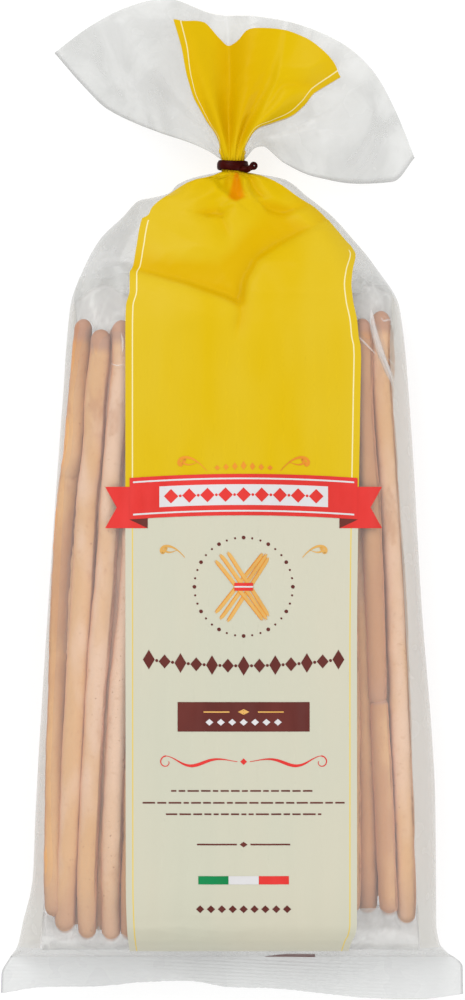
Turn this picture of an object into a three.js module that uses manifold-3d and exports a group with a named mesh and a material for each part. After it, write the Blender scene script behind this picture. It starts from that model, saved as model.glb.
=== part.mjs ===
// A clear film bag of breadsticks, tied at the neck, lying on its back.
//
// The bag is a tube of film. Its bottom is crimped flat, the sticks fill the body, the film is gathered
// to a thin neck under a twist tie, and past the tie it fans out again as a ruff.
// Millimetres. X runs across the bag, +Y from the bottom seal to the ruff, +Z up out of the printed front.
// The origin is under the middle of the bag, on the surface that it lies on.

import * as THREE from "three";
import Module from "manifold-3d";
import { mergeVertices } from "three/addons/utils/BufferGeometryUtils.js";

// ---------------------------------------------------------------- driving dimensions
const SEAL_FOOT = -188; // the middle of the bottom seal's lower edge, where the outlines start
const SEAL_LINE = -178.5; // where the two films part above the bottom seal
const SEAL_HEIGHT = 15; // the flat seal's height above the surface
const FIN = 1.4; // thickness of the two films where they lie flat together
const PACK_THICKNESS = 45; // over the sticks
const PACK_CROWN = 3; // how much lower the front is at its sides than in the middle
const FOLD_SHARE = 0.44; // height of the side folds, as a share of the thickness
const STICK_ROWS = 22; // sticks side by side under the front, fold to fold
const GROOVE_DEPTH = 1.2; // how far the front sinks between two sticks
const SIDE_STARTS = 0.55; // share of the way across where the front begins to turn down to its sides
const SIDE_DROP = 0.6; // how much less a groove sinks downwards at the very side, where it sinks inwards

const NECK_X = 0.4; // the neck is a little off the middle
const NECK_Z = 20;
const NECK_RADIUS_X = 4.7;
const NECK_RADIUS_Z = 4.0;
const NECK_PLEATS = 8;
const PLEAT_DEPTH = 0.3;
const NECK_START = 128.0;
const NECK_END = 132.8;

const RUFF_RISE = 14.4; // how far the film runs on upwards from the tie before it bends out
const RUFF_SPREAD = 5.8; // how far apart the film's two sides are by then
const RUFF_BEND = 0.62; // share of the way to the mouth where the bend outwards ends
const RUFF_SAG = 23; // how far the sides hang below the straight way to the mouth
const RUFF_TILT = 0.2; // how much more the right side rises and the left side less
const RUFF_SAG_TILT = 8.3; // how much more the right side sags
const RUFF_AIR_GAP = 3.2; // between the two films in the middle of the ruff

const TIE_GAP = 0.35; // between the gathered film and the band
const TIE_BAND = 1.1; // the band's thickness
const TIE_WIDTH = 3.9; // along the neck
const STRAND_RADIUS = 0.95; // each of the two twisted ends
const TWIST_PITCH = 7;
const TWIST_GIRTH = 1.25; // mean radius of the two strands together, in strand radii
const TWIST_RIDGE = 0.45; // how far the strands stand out from it, in strand radii
const TWIST_TAPER = 0.6; // at both ends of the twist

// ---------------------------------------------------------------- outlines, each as [y, value]
const LEFT_EDGE = [
  [SEAL_FOOT, -90.5], [-183, -90.3], [-178, -86.5], [-174, -84], [-165, -81.9], [-148, -78],
  [-120, -76.8], [-39, -71.8], [39, -66.3], [75, -63.4], [92, -57.3], [102, -51.5],
  [111, -42.3], [115.5, -38.3], [116.8, -36.6], [118.6, -28], [120, -24.3], [122.8, -21.8],
  [125, -17.5], [126.2, -13.6], [NECK_START, NECK_X - NECK_RADIUS_X],
];
const RIGHT_EDGE = [
  [SEAL_FOOT, 90.5], [-181, 90.4], [-177, 84.5], [-173, 81.3], [-165, 80], [-120, 79.6],
  [-39, 74.1], [39, 69.4], [75, 65.6], [92, 55.4], [102, 47.2], [111, 39],
  [119, 28.8], [125, 21], [NECK_START, NECK_X + NECK_RADIUS_X],
];
const TOP_PROFILE = [
  [SEAL_FOOT, SEAL_HEIGHT + FIN / 2], [SEAL_LINE, SEAL_HEIGHT + FIN / 2], [-176.5, 24], [-174, 32.5],
  [-170.5, 39], [-164, 43], [-150, PACK_THICKNESS], [60, PACK_THICKNESS], [78, 43], [95, 38],
  [112, 31.5], [123, 26.5], [NECK_START, NECK_Z + NECK_RADIUS_Z],
];
const GROOVE_REACH = [[-173, 0], [-165, 1], [58, 1], [74, 0]]; // where the sticks press against the film
const UNDER_PROFILE = [
  [SEAL_FOOT, SEAL_HEIGHT - FIN / 2], [SEAL_LINE, SEAL_HEIGHT - FIN / 2], [-176.5, 8.5], [-173.5, 3],
  [-169, 0.4], [-164, 0], [74, 0], [95, 4], [112, 9.5], [123, 14],
  [NECK_START, NECK_Z - NECK_RADIUS_Z],
];

// The lower edge of the seal and the open mouth of the ruff, at even steps across the film.
const SEAL_EDGE_Y = [-192.7, -190.3, -190.3, -188.6, -187.8, -190.5, -191.2, -193, -194.7, -195, -193];
const SEAL_EDGE_LIFT = [2.5, 0.5, -1.5, 0.5, 2, 0.5, -1.5, -1, 1, 1.5, 0];
const MOUTH = [
  [-69.4, 174.7], [-55.4, 184.8], [-39.8, 192.4], [-24.2, 195], [-7.4, 189.6], [9.8, 188.2],
  [26.5, 185.1], [42.9, 177.7], [55, 167.3], [63.8, 152.1], [71.4, 133.8],
];
const MOUTH_HEIGHT = [15, 19, 22, 25, 20, 25, 22, 25, 21, 17, 13];
const MOUTH_DIP = [0, 0, 0, 1, 8, 2, 0, 0, 1, 0, 0]; // how far the front film falls short of the back one

// The ruff's two side folds in plan, as [share of the way from the neck to the mouth, x, y].
const RUFF_FOLDS = [
  [
    [0, -4.3, 132.8], [0.1, -9.5, 136.3], [0.3, -17.5, 139.8], [0.5, -28.5, 143.5],
    [0.75, -48.4, 152.5], [0.87, -58.5, 162.2], [1, -69.4, 174.7],
  ],
  [
    [0, 5.1, 132.8], [0.1, 9.2, 137.4], [0.22, 12.2, 138], [0.35, 20.7, 131.4], [0.5, 32.5, 126.2],
    [0.75, 50, 123.6], [0.88, 62.8, 124.4], [1, 71.4, 133.8],
  ],
];

// ---------------------------------------------------------------- curves
// A smooth value through [position, value] knots, which never overshoots them.
function through(knots, at) {
  const last = knots.length - 1;
  if (at <= knots[0][0]) return knots[0][1];
  if (at >= knots[last][0]) return knots[last][1];
  let k = 0;
  while (at > knots[k + 1][0]) k += 1;
  const step = (i) => knots[i + 1][0] - knots[i][0];
  const rise = (i) => (knots[i + 1][1] - knots[i][1]) / step(i);
  const slope = (i) => {
    if (i === 0) return rise(0);
    if (i === last) return rise(last - 1);
    const [a, b] = [rise(i - 1), rise(i)];
    return a * b <= 0 ? 0 : (2 * a * b) / (a + b);
  };
  const t = (at - knots[k][0]) / step(k);
  const ease = t * t * (3 - 2 * t);
  const bow = step(k) * (t * (1 - t) * ((1 - t) * slope(k) - t * slope(k + 1)));
  return knots[k][1] + (knots[k + 1][1] - knots[k][1]) * ease + bow;
}

// A value from a list that runs in even steps across the film, from across = -1 to 1.
function acrossFilm(values, across) {
  const knots = values.map((value, i) => [-1 + (2 * i) / (values.length - 1), value]);
  return through(knots, across);
}

// A smooth curve through the mouth's points, which are unevenly far apart in X and Y.
const mouthCurve = new THREE.CatmullRomCurve3(MOUTH.map(([x, y]) => new THREE.Vector3(x, y, 0)));
const mouthAt = (across) => mouthCurve.getPoint((across + 1) / 2);

const mix = (a, b, t) => a + (b - a) * t;

// ---------------------------------------------------------------- the film tube
// Every ring of the tube starts at the left fold, crosses the front, and comes back across the underside.
// across runs from -1 at the left fold to 1 at the right fold; side is 1 on the front and -1 on the back.

// A flattened cross-section: a flat middle, and quarter ellipses at the folds.
function sectionPoint(y, across, side) {
  const left = through(LEFT_EDGE, y);
  const right = through(RIGHT_EDGE, y);
  const top = through(TOP_PROFILE, y);
  const under = through(UNDER_PROFILE, y);
  const fold = mix(under, top, FOLD_SHARE);
  const halfWidth = (right - left) / 2;
  const rise = side > 0 ? top - fold : fold - under;
  const corner = Math.min((top - under) / 2, halfWidth * 0.9);
  const flat = halfWidth - corner;
  const run = Math.abs(across) * (flat + (corner * Math.PI) / 2);
  const turn = Math.max(0, run - flat) / corner;
  const x = Math.sign(across) * (Math.min(run, flat) + corner * Math.sin(turn));
  const fullness = (top - under) / PACK_THICKNESS;
  const crown = side > 0 ? PACK_CROWN * fullness * (x / halfWidth) ** 2 * Math.cos(turn) : 0;
  return new THREE.Vector3((left + right) / 2 + x, y, fold + side * rise * Math.cos(turn) - crown);
}

function sealPoint(share, across, side) {
  const edgeY = acrossFilm(SEAL_EDGE_Y, across);
  const y = mix(edgeY, SEAL_LINE, share);
  const outlineY = mix(SEAL_FOOT, SEAL_LINE, share);
  const point = sectionPoint(outlineY, across, side);
  point.y = y;
  point.z += acrossFilm(SEAL_EDGE_LIFT, across) * (1 - share);
  return point;
}

// The gathered film under the tie, a small ellipse with shallow pleats.
function neckPoint(y, across, side) {
  const angle = (Math.PI / 2) * across;
  const pleat = 1 - (PLEAT_DEPTH / NECK_RADIUS_X) * (0.5 + 0.5 * Math.cos(2 * NECK_PLEATS * angle));
  return new THREE.Vector3(
    NECK_X + NECK_RADIUS_X * Math.sin(angle) * pleat,
    y,
    NECK_Z + side * NECK_RADIUS_Z * Math.cos(angle) * pleat,
  );
}

// Above the tie each line of the film leaves the neck upwards and bends out to its place at the mouth.
function sweptLine(across, side) {
  const start = neckPoint(NECK_END, across, side);
  const mouth = mouthAt(across);
  if (side > 0) mouth.y -= acrossFilm(MOUTH_DIP, across);
  const rise = RUFF_RISE * (1 + RUFF_TILT * across);
  const upwards = start.clone().add(new THREE.Vector3(RUFF_SPREAD * across, rise, 0));
  const towards = start.clone().lerp(mouth, RUFF_BEND);
  towards.y -= Math.abs(across) ** 3 * (RUFF_SAG + RUFF_SAG_TILT * across);
  return new THREE.CubicBezierCurve3(start, upwards, towards, mouth);
}

// How far the side fold on this side of the ruff lies from where its own line would lead it, in plan.
function foldShift(share, across, side) {
  const edge = across < 0 ? -1 : 1;
  const knots = RUFF_FOLDS[across < 0 ? 0 : 1];
  const [x, y] = [1, 2].map((i) => through(knots.map((knot) => [knot[0], knot[i]]), share));
  return new THREE.Vector3(x, y, 0).sub(sweptLine(edge, side).getPoint(share)).setZ(0);
}

function ruffPoint(share, across, side) {
  const start = neckPoint(NECK_END, across, side);
  const point = sweptLine(across, side).getPoint(share);
  point.addScaledVector(foldShift(share, across, side), Math.abs(across) ** 3);
  const middle = mix(NECK_Z, acrossFilm(MOUTH_HEIGHT, across), share ** 0.8);
  const opening = side * (start.z - NECK_Z) * (1 - share) ** 2;
  const airGap = RUFF_AIR_GAP * Math.sin(Math.PI * share) * (1 - across ** 2);
  const edge = (FIN / 2) * Math.min(1, share * 4) * (1 - across ** 8);
  point.z = middle + side * (opening + airGap + edge);
  return point;
}

// Creases that run down the shoulders from the neck: from, to, half width and height, in plan.
const SHOULDER_CREASES = [
  [-6, 126, -22, 98, 5, 2.2],
  [3, 126, 0, 108, 3.5, -3.2],
  [8, 126, 30, 100, 5, 2.0],
  [-36, 89, 2, 78, 6, -2.6],
  [2, 78, 26, 104, 4, -2.4],
];

function creaseHeight(x, y) {
  let height = 0;
  for (const [x0, y0, x1, y1, halfWidth, tall] of SHOULDER_CREASES) {
    const [dx, dy] = [x1 - x0, y1 - y0];
    const along = ((x - x0) * dx + (y - y0) * dy) / (dx * dx + dy * dy);
    const held = Math.min(1, Math.max(0, along));
    const away = Math.hypot(x - x0 - held * dx, y - y0 - held * dy) / halfWidth;
    height += tall * Math.exp(-away * away) * Math.sin(Math.PI * mix(0.12, 0.88, held));
  }
  return height;
}

const FRONT_STEPS = 3 * STICK_ROWS; // three facets to each stick
const BACK_STEPS = FRONT_STEPS / 2;
const sealShares = [0, 0.33, 0.67];
const bodyStations = [
  SEAL_LINE, -177.3, -175.8, -173.8, -171, -168, -164, -158, -148, -115, -70, -20, 25, 58, 68, 75, 80,
  85, 90, 94, 98, 102, 106, 110, 113, 115.5, 117, 118.6, 120, 122, 124, 125.5, 127,
];
const ruffShares = [0.05, 0.12, 0.2, 0.29, 0.38, 0.48, 0.58, 0.68, 0.79, 0.9, 1];

// One closed ring of points: the front from left fold to right fold, then the back from right to left.
function ringOf(pointAt) {
  const ring = [];
  for (let i = 0; i <= FRONT_STEPS; i += 1) ring.push(pointAt(-1 + (2 * i) / FRONT_STEPS, 1));
  for (let i = BACK_STEPS - 1; i > 0; i -= 1) ring.push(pointAt(-1 + (2 * i) / BACK_STEPS, -1));
  return ring;
}

// The film of the front sinks a little between the sticks, towards the middle of the bag.
function sinkBetweenSticks(point, y, across) {
  const between = 1 - Math.abs(Math.sin((Math.PI * STICK_ROWS * (across + 1)) / 2));
  const depth = GROOVE_DEPTH * between * through(GROOVE_REACH, y) * (1 - across ** 10);
  const lean = Math.max(0, Math.abs(across) - SIDE_STARTS) / (1 - SIDE_STARTS);
  point.x -= Math.sign(across) * depth * lean;
  point.z -= depth * (1 - SIDE_DROP * lean);
}

function bodyPoint(y, across, side) {
  const point = sectionPoint(y, across, side);
  if (side < 0) return point;
  sinkBetweenSticks(point, y, across);
  point.z += creaseHeight(point.x, point.y) * (1 - across ** 6);
  return point;
}

function bagRings() {
  return [
    ...sealShares.map((share) => ringOf((across, side) => sealPoint(share, across, side))),
    ...bodyStations.map((y) => ringOf((across, side) => bodyPoint(y, across, side))),
    ...[NECK_START, NECK_END].map((y) => ringOf((across, side) => neckPoint(y, across, side))),
    ...ruffShares.map((share) => ringOf((across, side) => ruffPoint(share, across, side))),
  ];
}

// ---------------------------------------------------------------- solids
// A closed solid through rings of equally many points. A ring's first frontSteps edges are one side of it
// and the rest the other. Each end is closed by strips from side to side, so that a thin wavy end stays thin.
function solidThrough(rings, frontSteps) {
  const count = rings[0].length;
  const positions = rings.flat().flatMap((p) => [p.x, p.y, p.z]);
  const faces = [];
  for (let r = 0; r + 1 < rings.length; r += 1) {
    for (let i = 0; i < count; i += 1) {
      const j = (i + 1) % count;
      const [a, b] = [r * count + i, r * count + j];
      faces.push(a, b, b + count, a, b + count, a + count);
    }
  }
  const backSteps = count - frontSteps;
  const perBackStep = frontSteps / backSteps;
  const closeEnd = (first, flipped) => {
    const addTriangle = (corners) => {
      const [a, b, c] = corners.map((k) => first + (k % count));
      if (a === b || b === c || a === c) return;
      faces.push(...(flipped ? [a, b, c] : [a, c, b]));
    };
    for (let i = 0; i < backSteps; i += 1) {
      const [near, far] = [count - i, count - i - 1];
      for (let j = 0; j < perBackStep; j += 1) {
        const front = i * perBackStep + j;
        addTriangle([front, front + 1, near]);
      }
      addTriangle([(i + 1) * perBackStep, far, near]);
    }
  };
  closeEnd(0, false);
  closeEnd((rings.length - 1) * count, true);
  const geometry = new THREE.BufferGeometry();
  geometry.setAttribute("position", new THREE.Float32BufferAttribute(positions, 3));
  geometry.setIndex(faces);
  return geometry;
}

// ---------------------------------------------------------------- the twist tie
// A ribbon with a wire core, wound once round the neck.
function tieBand() {
  const inner = NECK_RADIUS_X + TIE_GAP;
  const outer = inner + TIE_BAND;
  const half = TIE_WIDTH / 2;
  const round = 0.4;
  const profile = [
    [inner, -half], [outer - round, -half], [outer, -half + round], [outer, half - round],
    [outer - round, half], [inner, half], [inner, -half],
  ].map(([radius, y]) => new THREE.Vector2(radius, y));
  const band = new THREE.LatheGeometry(profile, 32);
  band.scale(1, 1, (NECK_RADIUS_Z + TIE_GAP) / inner);
  band.translate(NECK_X, (NECK_START + NECK_END) / 2, NECK_Z);
  return band;
}

// The two ends of the ribbon, twisted round each other and bent up at the tip.
function tieTwist() {
  const path = new THREE.CatmullRomCurve3([
    new THREE.Vector3(4.2, 130.2, 25.0),
    new THREE.Vector3(6.2, 129.9, 25.3),
    new THREE.Vector3(8.2, 130.3, 25.0),
    new THREE.Vector3(9.6, 131.3, 25.2),
    new THREE.Vector3(9.3, 132.0, 26.6),
  ]);
  const steps = 20;
  const sides = 12;
  const frames = path.computeFrenetFrames(steps);
  const rings = [];
  for (let k = 0; k <= steps; k += 1) {
    const centre = path.getPointAt(k / steps);
    const turn = ((2 * Math.PI) / TWIST_PITCH) * path.getLength() * (k / steps);
    const taper = k === 0 || k === steps ? TWIST_TAPER : 1;
    const ring = [];
    for (let i = 0; i < sides; i += 1) {
      const angle = (2 * Math.PI * i) / sides;
      const ridge = TWIST_RIDGE * Math.cos(2 * (angle - turn));
      const radius = STRAND_RADIUS * (TWIST_GIRTH + ridge) * taper;
      ring.push(
        centre
          .clone()
          .addScaledVector(frames.normals[k], radius * Math.cos(angle))
          .addScaledVector(frames.binormals[k], radius * Math.sin(angle)),
      );
    }
    rings.push(ring);
  }
  return solidThrough(rings, sides / 2);
}

// ---------------------------------------------------------------- joining
const wasm = await Module();
wasm.setup();

function toSolid(geometry) {
  const bare = geometry.clone();
  bare.deleteAttribute("normal");
  bare.deleteAttribute("uv");
  const merged = mergeVertices(bare, 1e-4);
  const vertProperties = merged.attributes.position.array;
  const triVerts = new Uint32Array(merged.index.array);
  const solid = new wasm.Manifold(new wasm.Mesh({ numProp: 3, vertProperties, triVerts }));
  if (solid.volume() > 0) return solid;
  return new wasm.Manifold(new wasm.Mesh({ numProp: 3, vertProperties, triVerts: triVerts.reverse() }));
}

function toGeometry(solid) {
  const mesh = solid.getMesh();
  const geometry = new THREE.BufferGeometry();
  geometry.setAttribute("position", new THREE.BufferAttribute(new Float32Array(mesh.vertProperties), 3));
  geometry.setIndex(new THREE.BufferAttribute(new Uint32Array(mesh.triVerts), 1));
  geometry.computeVertexNormals();
  return geometry;
}

const bagSolid = toSolid(solidThrough(bagRings(), FRONT_STEPS));
const tieSolid = toSolid(tieBand()).add(toSolid(tieTwist()));

// ---------------------------------------------------------------- the pieces
const filmMaterial = new THREE.MeshStandardMaterial({ color: 0xe6dcb4, roughness: 0.35, metalness: 0 });
const tieMaterial = new THREE.MeshStandardMaterial({ color: 0x3d1412, roughness: 0.4, metalness: 0 });

const bag = new THREE.Mesh(toGeometry(bagSolid), filmMaterial);
bag.name = "bag";

const tie = new THREE.Mesh(toGeometry(tieSolid), tieMaterial);
tie.name = "tie";

const breadstickBag = new THREE.Group();
breadstickBag.name = "breadstick_bag";
breadstickBag.add(bag, tie);

export default breadstickBag;
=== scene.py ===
"""A clear film bag of breadsticks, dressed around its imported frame.

The bag lies on its back with the printed front up. It is made here in the order in which it would be packed:
the sticks, the small inner bags round them, the printed film tube, its print, and the twist tie.
Blender's unit is the metre. The bag's own sizes are in millimetres, and MM turns them into metres.
"""

import math

import bpy
import numpy as np
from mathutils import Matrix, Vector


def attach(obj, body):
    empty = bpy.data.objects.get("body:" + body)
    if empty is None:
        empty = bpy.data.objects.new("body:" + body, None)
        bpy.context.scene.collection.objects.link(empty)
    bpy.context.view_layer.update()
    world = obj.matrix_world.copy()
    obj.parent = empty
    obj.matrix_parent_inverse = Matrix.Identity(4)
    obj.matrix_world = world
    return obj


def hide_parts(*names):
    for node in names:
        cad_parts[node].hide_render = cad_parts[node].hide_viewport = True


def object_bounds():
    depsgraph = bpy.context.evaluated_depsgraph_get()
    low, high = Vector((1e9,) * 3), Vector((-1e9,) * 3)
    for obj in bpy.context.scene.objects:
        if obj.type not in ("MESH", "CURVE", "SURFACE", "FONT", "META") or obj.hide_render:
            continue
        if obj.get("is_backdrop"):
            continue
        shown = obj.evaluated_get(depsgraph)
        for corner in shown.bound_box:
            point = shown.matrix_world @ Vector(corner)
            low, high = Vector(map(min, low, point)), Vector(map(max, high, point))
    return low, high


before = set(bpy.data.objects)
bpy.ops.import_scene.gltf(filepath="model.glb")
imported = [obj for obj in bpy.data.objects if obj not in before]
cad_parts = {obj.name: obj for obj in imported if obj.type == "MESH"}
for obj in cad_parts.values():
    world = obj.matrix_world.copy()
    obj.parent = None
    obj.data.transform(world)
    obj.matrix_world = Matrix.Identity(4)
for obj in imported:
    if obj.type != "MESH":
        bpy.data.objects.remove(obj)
cad_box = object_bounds()

# ---------------------------------------------------------------- the room inside the film tube
# A flat tube of film, filled out by the sticks to a flattened section with rounded sides. All that is
# inside lies against this form, and the film itself follows it. Outlines are (y, value) knots.

MM = 0.001
FILM_INSET = 0.25
SEAL_BOTTOM, SEAL_LINE = -188, -178.5
SEAL_Z = 15.0
THICKNESS = 45.0
CROWN = 3.0
FOLD_SHARE = 0.44
NECK_X, NECK_Z = 0.4, 20.0
NECK_RADIUS_X, NECK_RADIUS_Z = 4.7, 4.0
NECK_START, NECK_END = 128.0, 132.8

LEFT_EDGE = [
    (SEAL_BOTTOM, -90.5), (-183, -90.3), (-178, -86.5), (-174, -84), (-165, -81.9), (-148, -78),
    (-120, -76.8), (-39, -71.8), (39, -66.3), (75, -63.4), (92, -57.3), (102, -51.5),
    (111, -42.3), (115.5, -38.3), (116.8, -36.6), (118.6, -28), (120, -24.3), (122.8, -21.8),
    (125, -17.5), (126.2, -13.6), (NECK_START, NECK_X - NECK_RADIUS_X),
]
RIGHT_EDGE = [
    (SEAL_BOTTOM, 90.5), (-181, 90.4), (-177, 84.5), (-173, 81.3), (-165, 80), (-120, 79.6),
    (-39, 74.1), (39, 69.4), (75, 65.6), (92, 55.4), (102, 47.2), (111, 39),
    (119, 28.8), (125, 21), (NECK_START, NECK_X + NECK_RADIUS_X),
]
TOP_PROFILE = [
    (SEAL_BOTTOM, SEAL_Z + 0.5), (SEAL_LINE, SEAL_Z + 0.5), (-176.5, 24), (-174, 32.5), (-170.5, 39),
    (-164, 43), (-150, THICKNESS), (60, THICKNESS), (78, 43), (95, 38), (112, 31.5), (123, 26.5),
    (NECK_START, NECK_Z + NECK_RADIUS_Z),
]
UNDER_PROFILE = [
    (SEAL_BOTTOM, SEAL_Z - 0.5), (SEAL_LINE, SEAL_Z - 0.5), (-176.5, 8.5), (-173.5, 3), (-169, 0.4),
    (-164, 0), (74, 0), (95, 4), (112, 9.5), (123, 14), (NECK_START, NECK_Z - NECK_RADIUS_Z),
]


def through(knots, at):
    """A smooth value through (position, value) knots, which never overshoots them."""
    x, y = np.array(knots, float).T
    at = np.clip(at, x[0], x[-1])
    step = np.diff(x)
    rise = np.diff(y) / step
    slope = np.concatenate(([rise[0]], np.zeros(len(x) - 2), [rise[-1]]))
    same_way = rise[:-1] * rise[1:] > 0
    both = np.where(same_way, rise[:-1] + rise[1:], 1)
    slope[1:-1] = np.where(same_way, 2 * rise[:-1] * rise[1:] / both, 0)
    k = np.clip(np.searchsorted(x, at, side="right") - 1, 0, len(step) - 1)
    t = (at - x[k]) / step[k]
    ease = t * t * (3 - 2 * t)
    bow = step[k] * t * (1 - t) * ((1 - t) * slope[k] - t * slope[k + 1])
    return y[k] + (y[k + 1] - y[k]) * ease + bow


def mix(a, b, share):
    """The value at a share of the way from a to b."""
    return a + (b - a) * share


def smooth_step(low, high, at):
    """0 up to low and 1 from high on, with a smooth rise between them. low may be above high."""
    t = np.clip((at - low) / (high - low), 0, 1)
    return t * t * (3 - 2 * t)


class Section:
    """The tube's cross-section at one height y: flat in the middle, a quarter ellipse at each side."""

    def __init__(self, y, inset=FILM_INSET):
        left, right = through(LEFT_EDGE, y), through(RIGHT_EDGE, y)
        self.top, self.under = through(TOP_PROFILE, y) - inset, through(UNDER_PROFILE, y) + inset
        self.middle, self.half = (left + right) / 2, (right - left) / 2 - inset
        self.fold = self.under + FOLD_SHARE * (self.top - self.under)
        self.corner = np.minimum((self.top - self.under) / 2, self.half * 0.9)
        self.flat = self.half - self.corner
        self.girth = self.flat + self.corner * math.pi / 2
        self.fullness = (self.top - self.under) / THICKNESS

    def point(self, across, side):
        """x, z and the way out of the bag there. across is -1 at the left fold, 1 at the right one."""
        run = np.abs(across) * self.girth
        turn = np.maximum(0, run - self.flat) / self.corner
        x = np.sign(across) * (np.minimum(run, self.flat) + self.corner * np.sin(turn))
        rise = (self.top - self.fold) if side > 0 else (self.fold - self.under)
        crown = CROWN * self.fullness * (x / self.half) ** 2 * np.cos(turn) if side > 0 else 0
        z = self.fold + side * rise * np.cos(turn) - crown
        return self.middle + x, z, np.sign(across) * np.sin(turn), side * np.cos(turn)

    def across(self, x):
        """The place across the front film that lies over x."""
        away = np.abs(x - self.middle)
        turned = self.corner * np.arcsin(np.clip((away - self.flat) / self.corner, 0, 0.999))
        run = np.minimum(away, self.flat) + turned
        return np.clip(np.sign(x - self.middle) * run / self.girth, -0.985, 0.985)

    def reach(self, z):
        """How far from the middle the tube reaches at height z."""
        rise = self.top - self.fold if z > self.fold else self.fold - self.under
        return self.flat + self.corner * math.sqrt(max(0.0, 1 - ((z - self.fold) / rise) ** 2))


# ---------------------------------------------------------------- breadsticks
# Long thin sticks of baked dough, drawn out and split lengthwise before baking, so they are uneven, a little
# bent, torn down one side and rounded at the ends. Each small bag's sticks are one piece.

STICK_RADIUS = 4.05
STICK_SPACE = 1.5  # between a stick and the outer film
STICK_SIDES = 20
STICK_STEP = 1.9
TIP_LENGTH, TIP_STEPS = 4.5, 8
BREAD_PALE = (0.80, 0.535, 0.365, 1)
BREAD_TAN = (0.72, 0.41, 0.18, 1)
# the flanks' colour: partly a browner bake, partly painted shade on sides turned away from the light above
BREAD_FLANK_BAKE_AND_SHADE = (0.70, 0.31, 0.155, 1)
BREAD_DEEP = (0.53, 0.24, 0.105, 1)
BREAD_TIP = (0.47, 0.25, 0.17, 1)
BREAD_BROWN = (0.32, 0.125, 0.045, 1)

# The front row, left to right: (x, y) points down each stick, how much deeper than against the film it lies
# at its top and at its bottom, how well baked it is, and how thick. Behind the panel they stand evenly.
STICKS_BOTTOM, STICKS_TOP = -168.0, 68.0
LEFT_STICKS = [
    ([(-57.5, 70.4), (-58.2, 58.5), (-60, 39), (-61.3, 19.5), (-64, 0), (-66.6, -39), (-67.8, -78),
      (-68.8, -117), (-68.8, -161.5)], -4.0, -1.4, 1.15, 0.97),
    ([(-50.4, 66.2), (-50.8, 58.5), (-52.8, 39), (-53.7, 19.5), (-55.7, 0), (-57.9, -39), (-60.4, -78),
      (-62.2, -117), (-63, -136.5), (-64.4, -156), (-64.8, -168)], 1.0, 1.0, 0.55, 1.08),
    ([(-42.9, 69.6), (-42.2, 55), (-43.7, 39), (-45.6, 19.5), (-47.1, 0), (-49.7, -39), (-52.9, -78),
      (-54.8, -117), (-56.2, -156), (-56.0, -170.5)], 1.3, 0.8, 0.15, 1.0),
    ([(-35.5, 66), (-37, 20), (-40.2, -39), (-43.7, -78), (-45.8, -117), (-47, -156), (-46.8, -171)],
     0.5, 0.5, -0.5, 1.0),
    ([(-27, 66), (-29, 20), (-33.2, -39), (-38.0, -117), (-39.4, -170.4)], 0.6, 0.6, 0.6, 1.03),
]
RIGHT_STICKS = [
    ([(40.5, 66), (42.5, 0), (45.6, -80), (46.2, -160.5)], 0.6, 1.0, 0.2, 0.98),
    ([(50.2, 70.2), (50.5, 58.5), (50.7, 39), (52, 19.5), (53.4, 0), (55.3, -39), (56.5, -80)],
     1.2, 0.9, 2.2, 0.95),
    ([(56.8, -76), (57.8, -97.5), (59, -117), (59.8, -136.5), (60.7, -156), (60.9, -161)],
     1.7, 1.2, 1.5, 0.95),
    ([(58, 73.2), (57.1, 58.5), (58.2, 39), (59.7, 19.5), (61, 0), (63.4, -39), (65, -78), (66.6, -117),
      (67.7, -156), (67.9, -164.8)], 0.7, 0.9, 0.45, 1.0),
]
HIDDEN_STICKS = 7
# The second row shows in the gaps of the first one.
SECOND_ROW = [
    ([(-46.4, 66), (-48.2, 39), (-51.5, 0), (-54, -39), (-58.6, -117), (-60.8, -165)], 6.6, 6.6, 0.0, 1.0),
    ([(-38, 65), (-40, 39), (-42.6, 0), (-45.2, -39), (-50.4, -117), (-51.6, -167)], 6.4, 6.4, 0.2, 1.0),
    ([(-31, 64), (-32.5, 39), (-36, -39), (-41.6, -117), (-42.8, -167)], 6.6, 6.6, 0.0, 1.0),
    ([(45.5, 65), (50, -39), (51.8, -97), (52.8, -160.6)], 6.2, 6.0, 0.9, 1.0),
    ([(59.4, 69.5), (59.6, 52), (58, 28), (57, 0), (59, -39), (61.5, -97), (64, -158)], 8.2, 8.2, 0.5, 0.95),
]
# The rows behind it: height, sticks on each side of the middle, and their spacing. The outermost ones stand
# this far in from the film at the bottom and at the top. No stick reaches further down or up than given.
INNER_ROWS = [(23.0, 4, 12.0), (14.0, 3, 13.5)]
FROM_LEFT, FROM_RIGHT = (5.5, 2.5), (8.0, 5.0)
LOWEST_LEFT, LOWEST_RIGHT, HIGHEST = -161.5, -158.5, 60.0
SHORTER = 5.0  # at most, at either end
BACK_ROW_HEIGHT, BACK_ROW_STICKS, BACK_ROW_CURL = 4.9, 16, 2.4
FULL_FROM, FULL_TO = -158.0, 60.0  # past these the tube gets lower, and the sticks don't follow it
END_DIP = 3.0
TEAR_TO_RIGHT = math.radians(32)  # the front row's sticks are torn on their right, this far above level
STICK_INSET = FILM_INSET + STICK_SPACE + STICK_RADIUS

chance = np.random.default_rng(23)


def hidden_sticks():
    """The sticks of the front row behind the panel, evenly between the last left and the first right one."""
    first, last = LEFT_STICKS[-1][0], RIGHT_STICKS[0][0]
    for k in range(1, HIDDEN_STICKS + 1):
        share = k / (HIDDEN_STICKS + 1)
        top, bottom = (mix(first[i][0], last[i][0], share) for i in (0, -1))
        yield [(top, 66 - k % 3), (bottom, STICKS_BOTTOM + k % 3)], 0.8, 0.8, 0.4, 1.0


def x_down(path, y):
    """How far right a path from a stick's top to its bottom runs at height y."""
    return through([(py, px) for px, py in reversed(path)], y)


def share_up(y):
    """How far up the sticks the height y is: 0 at their bottom, 1 at their top."""
    return (y - STICKS_BOTTOM) / (STICKS_TOP - STICKS_BOTTOM)


FRONT_ROW = [*LEFT_STICKS, *hidden_sticks(), *RIGHT_STICKS]


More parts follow.
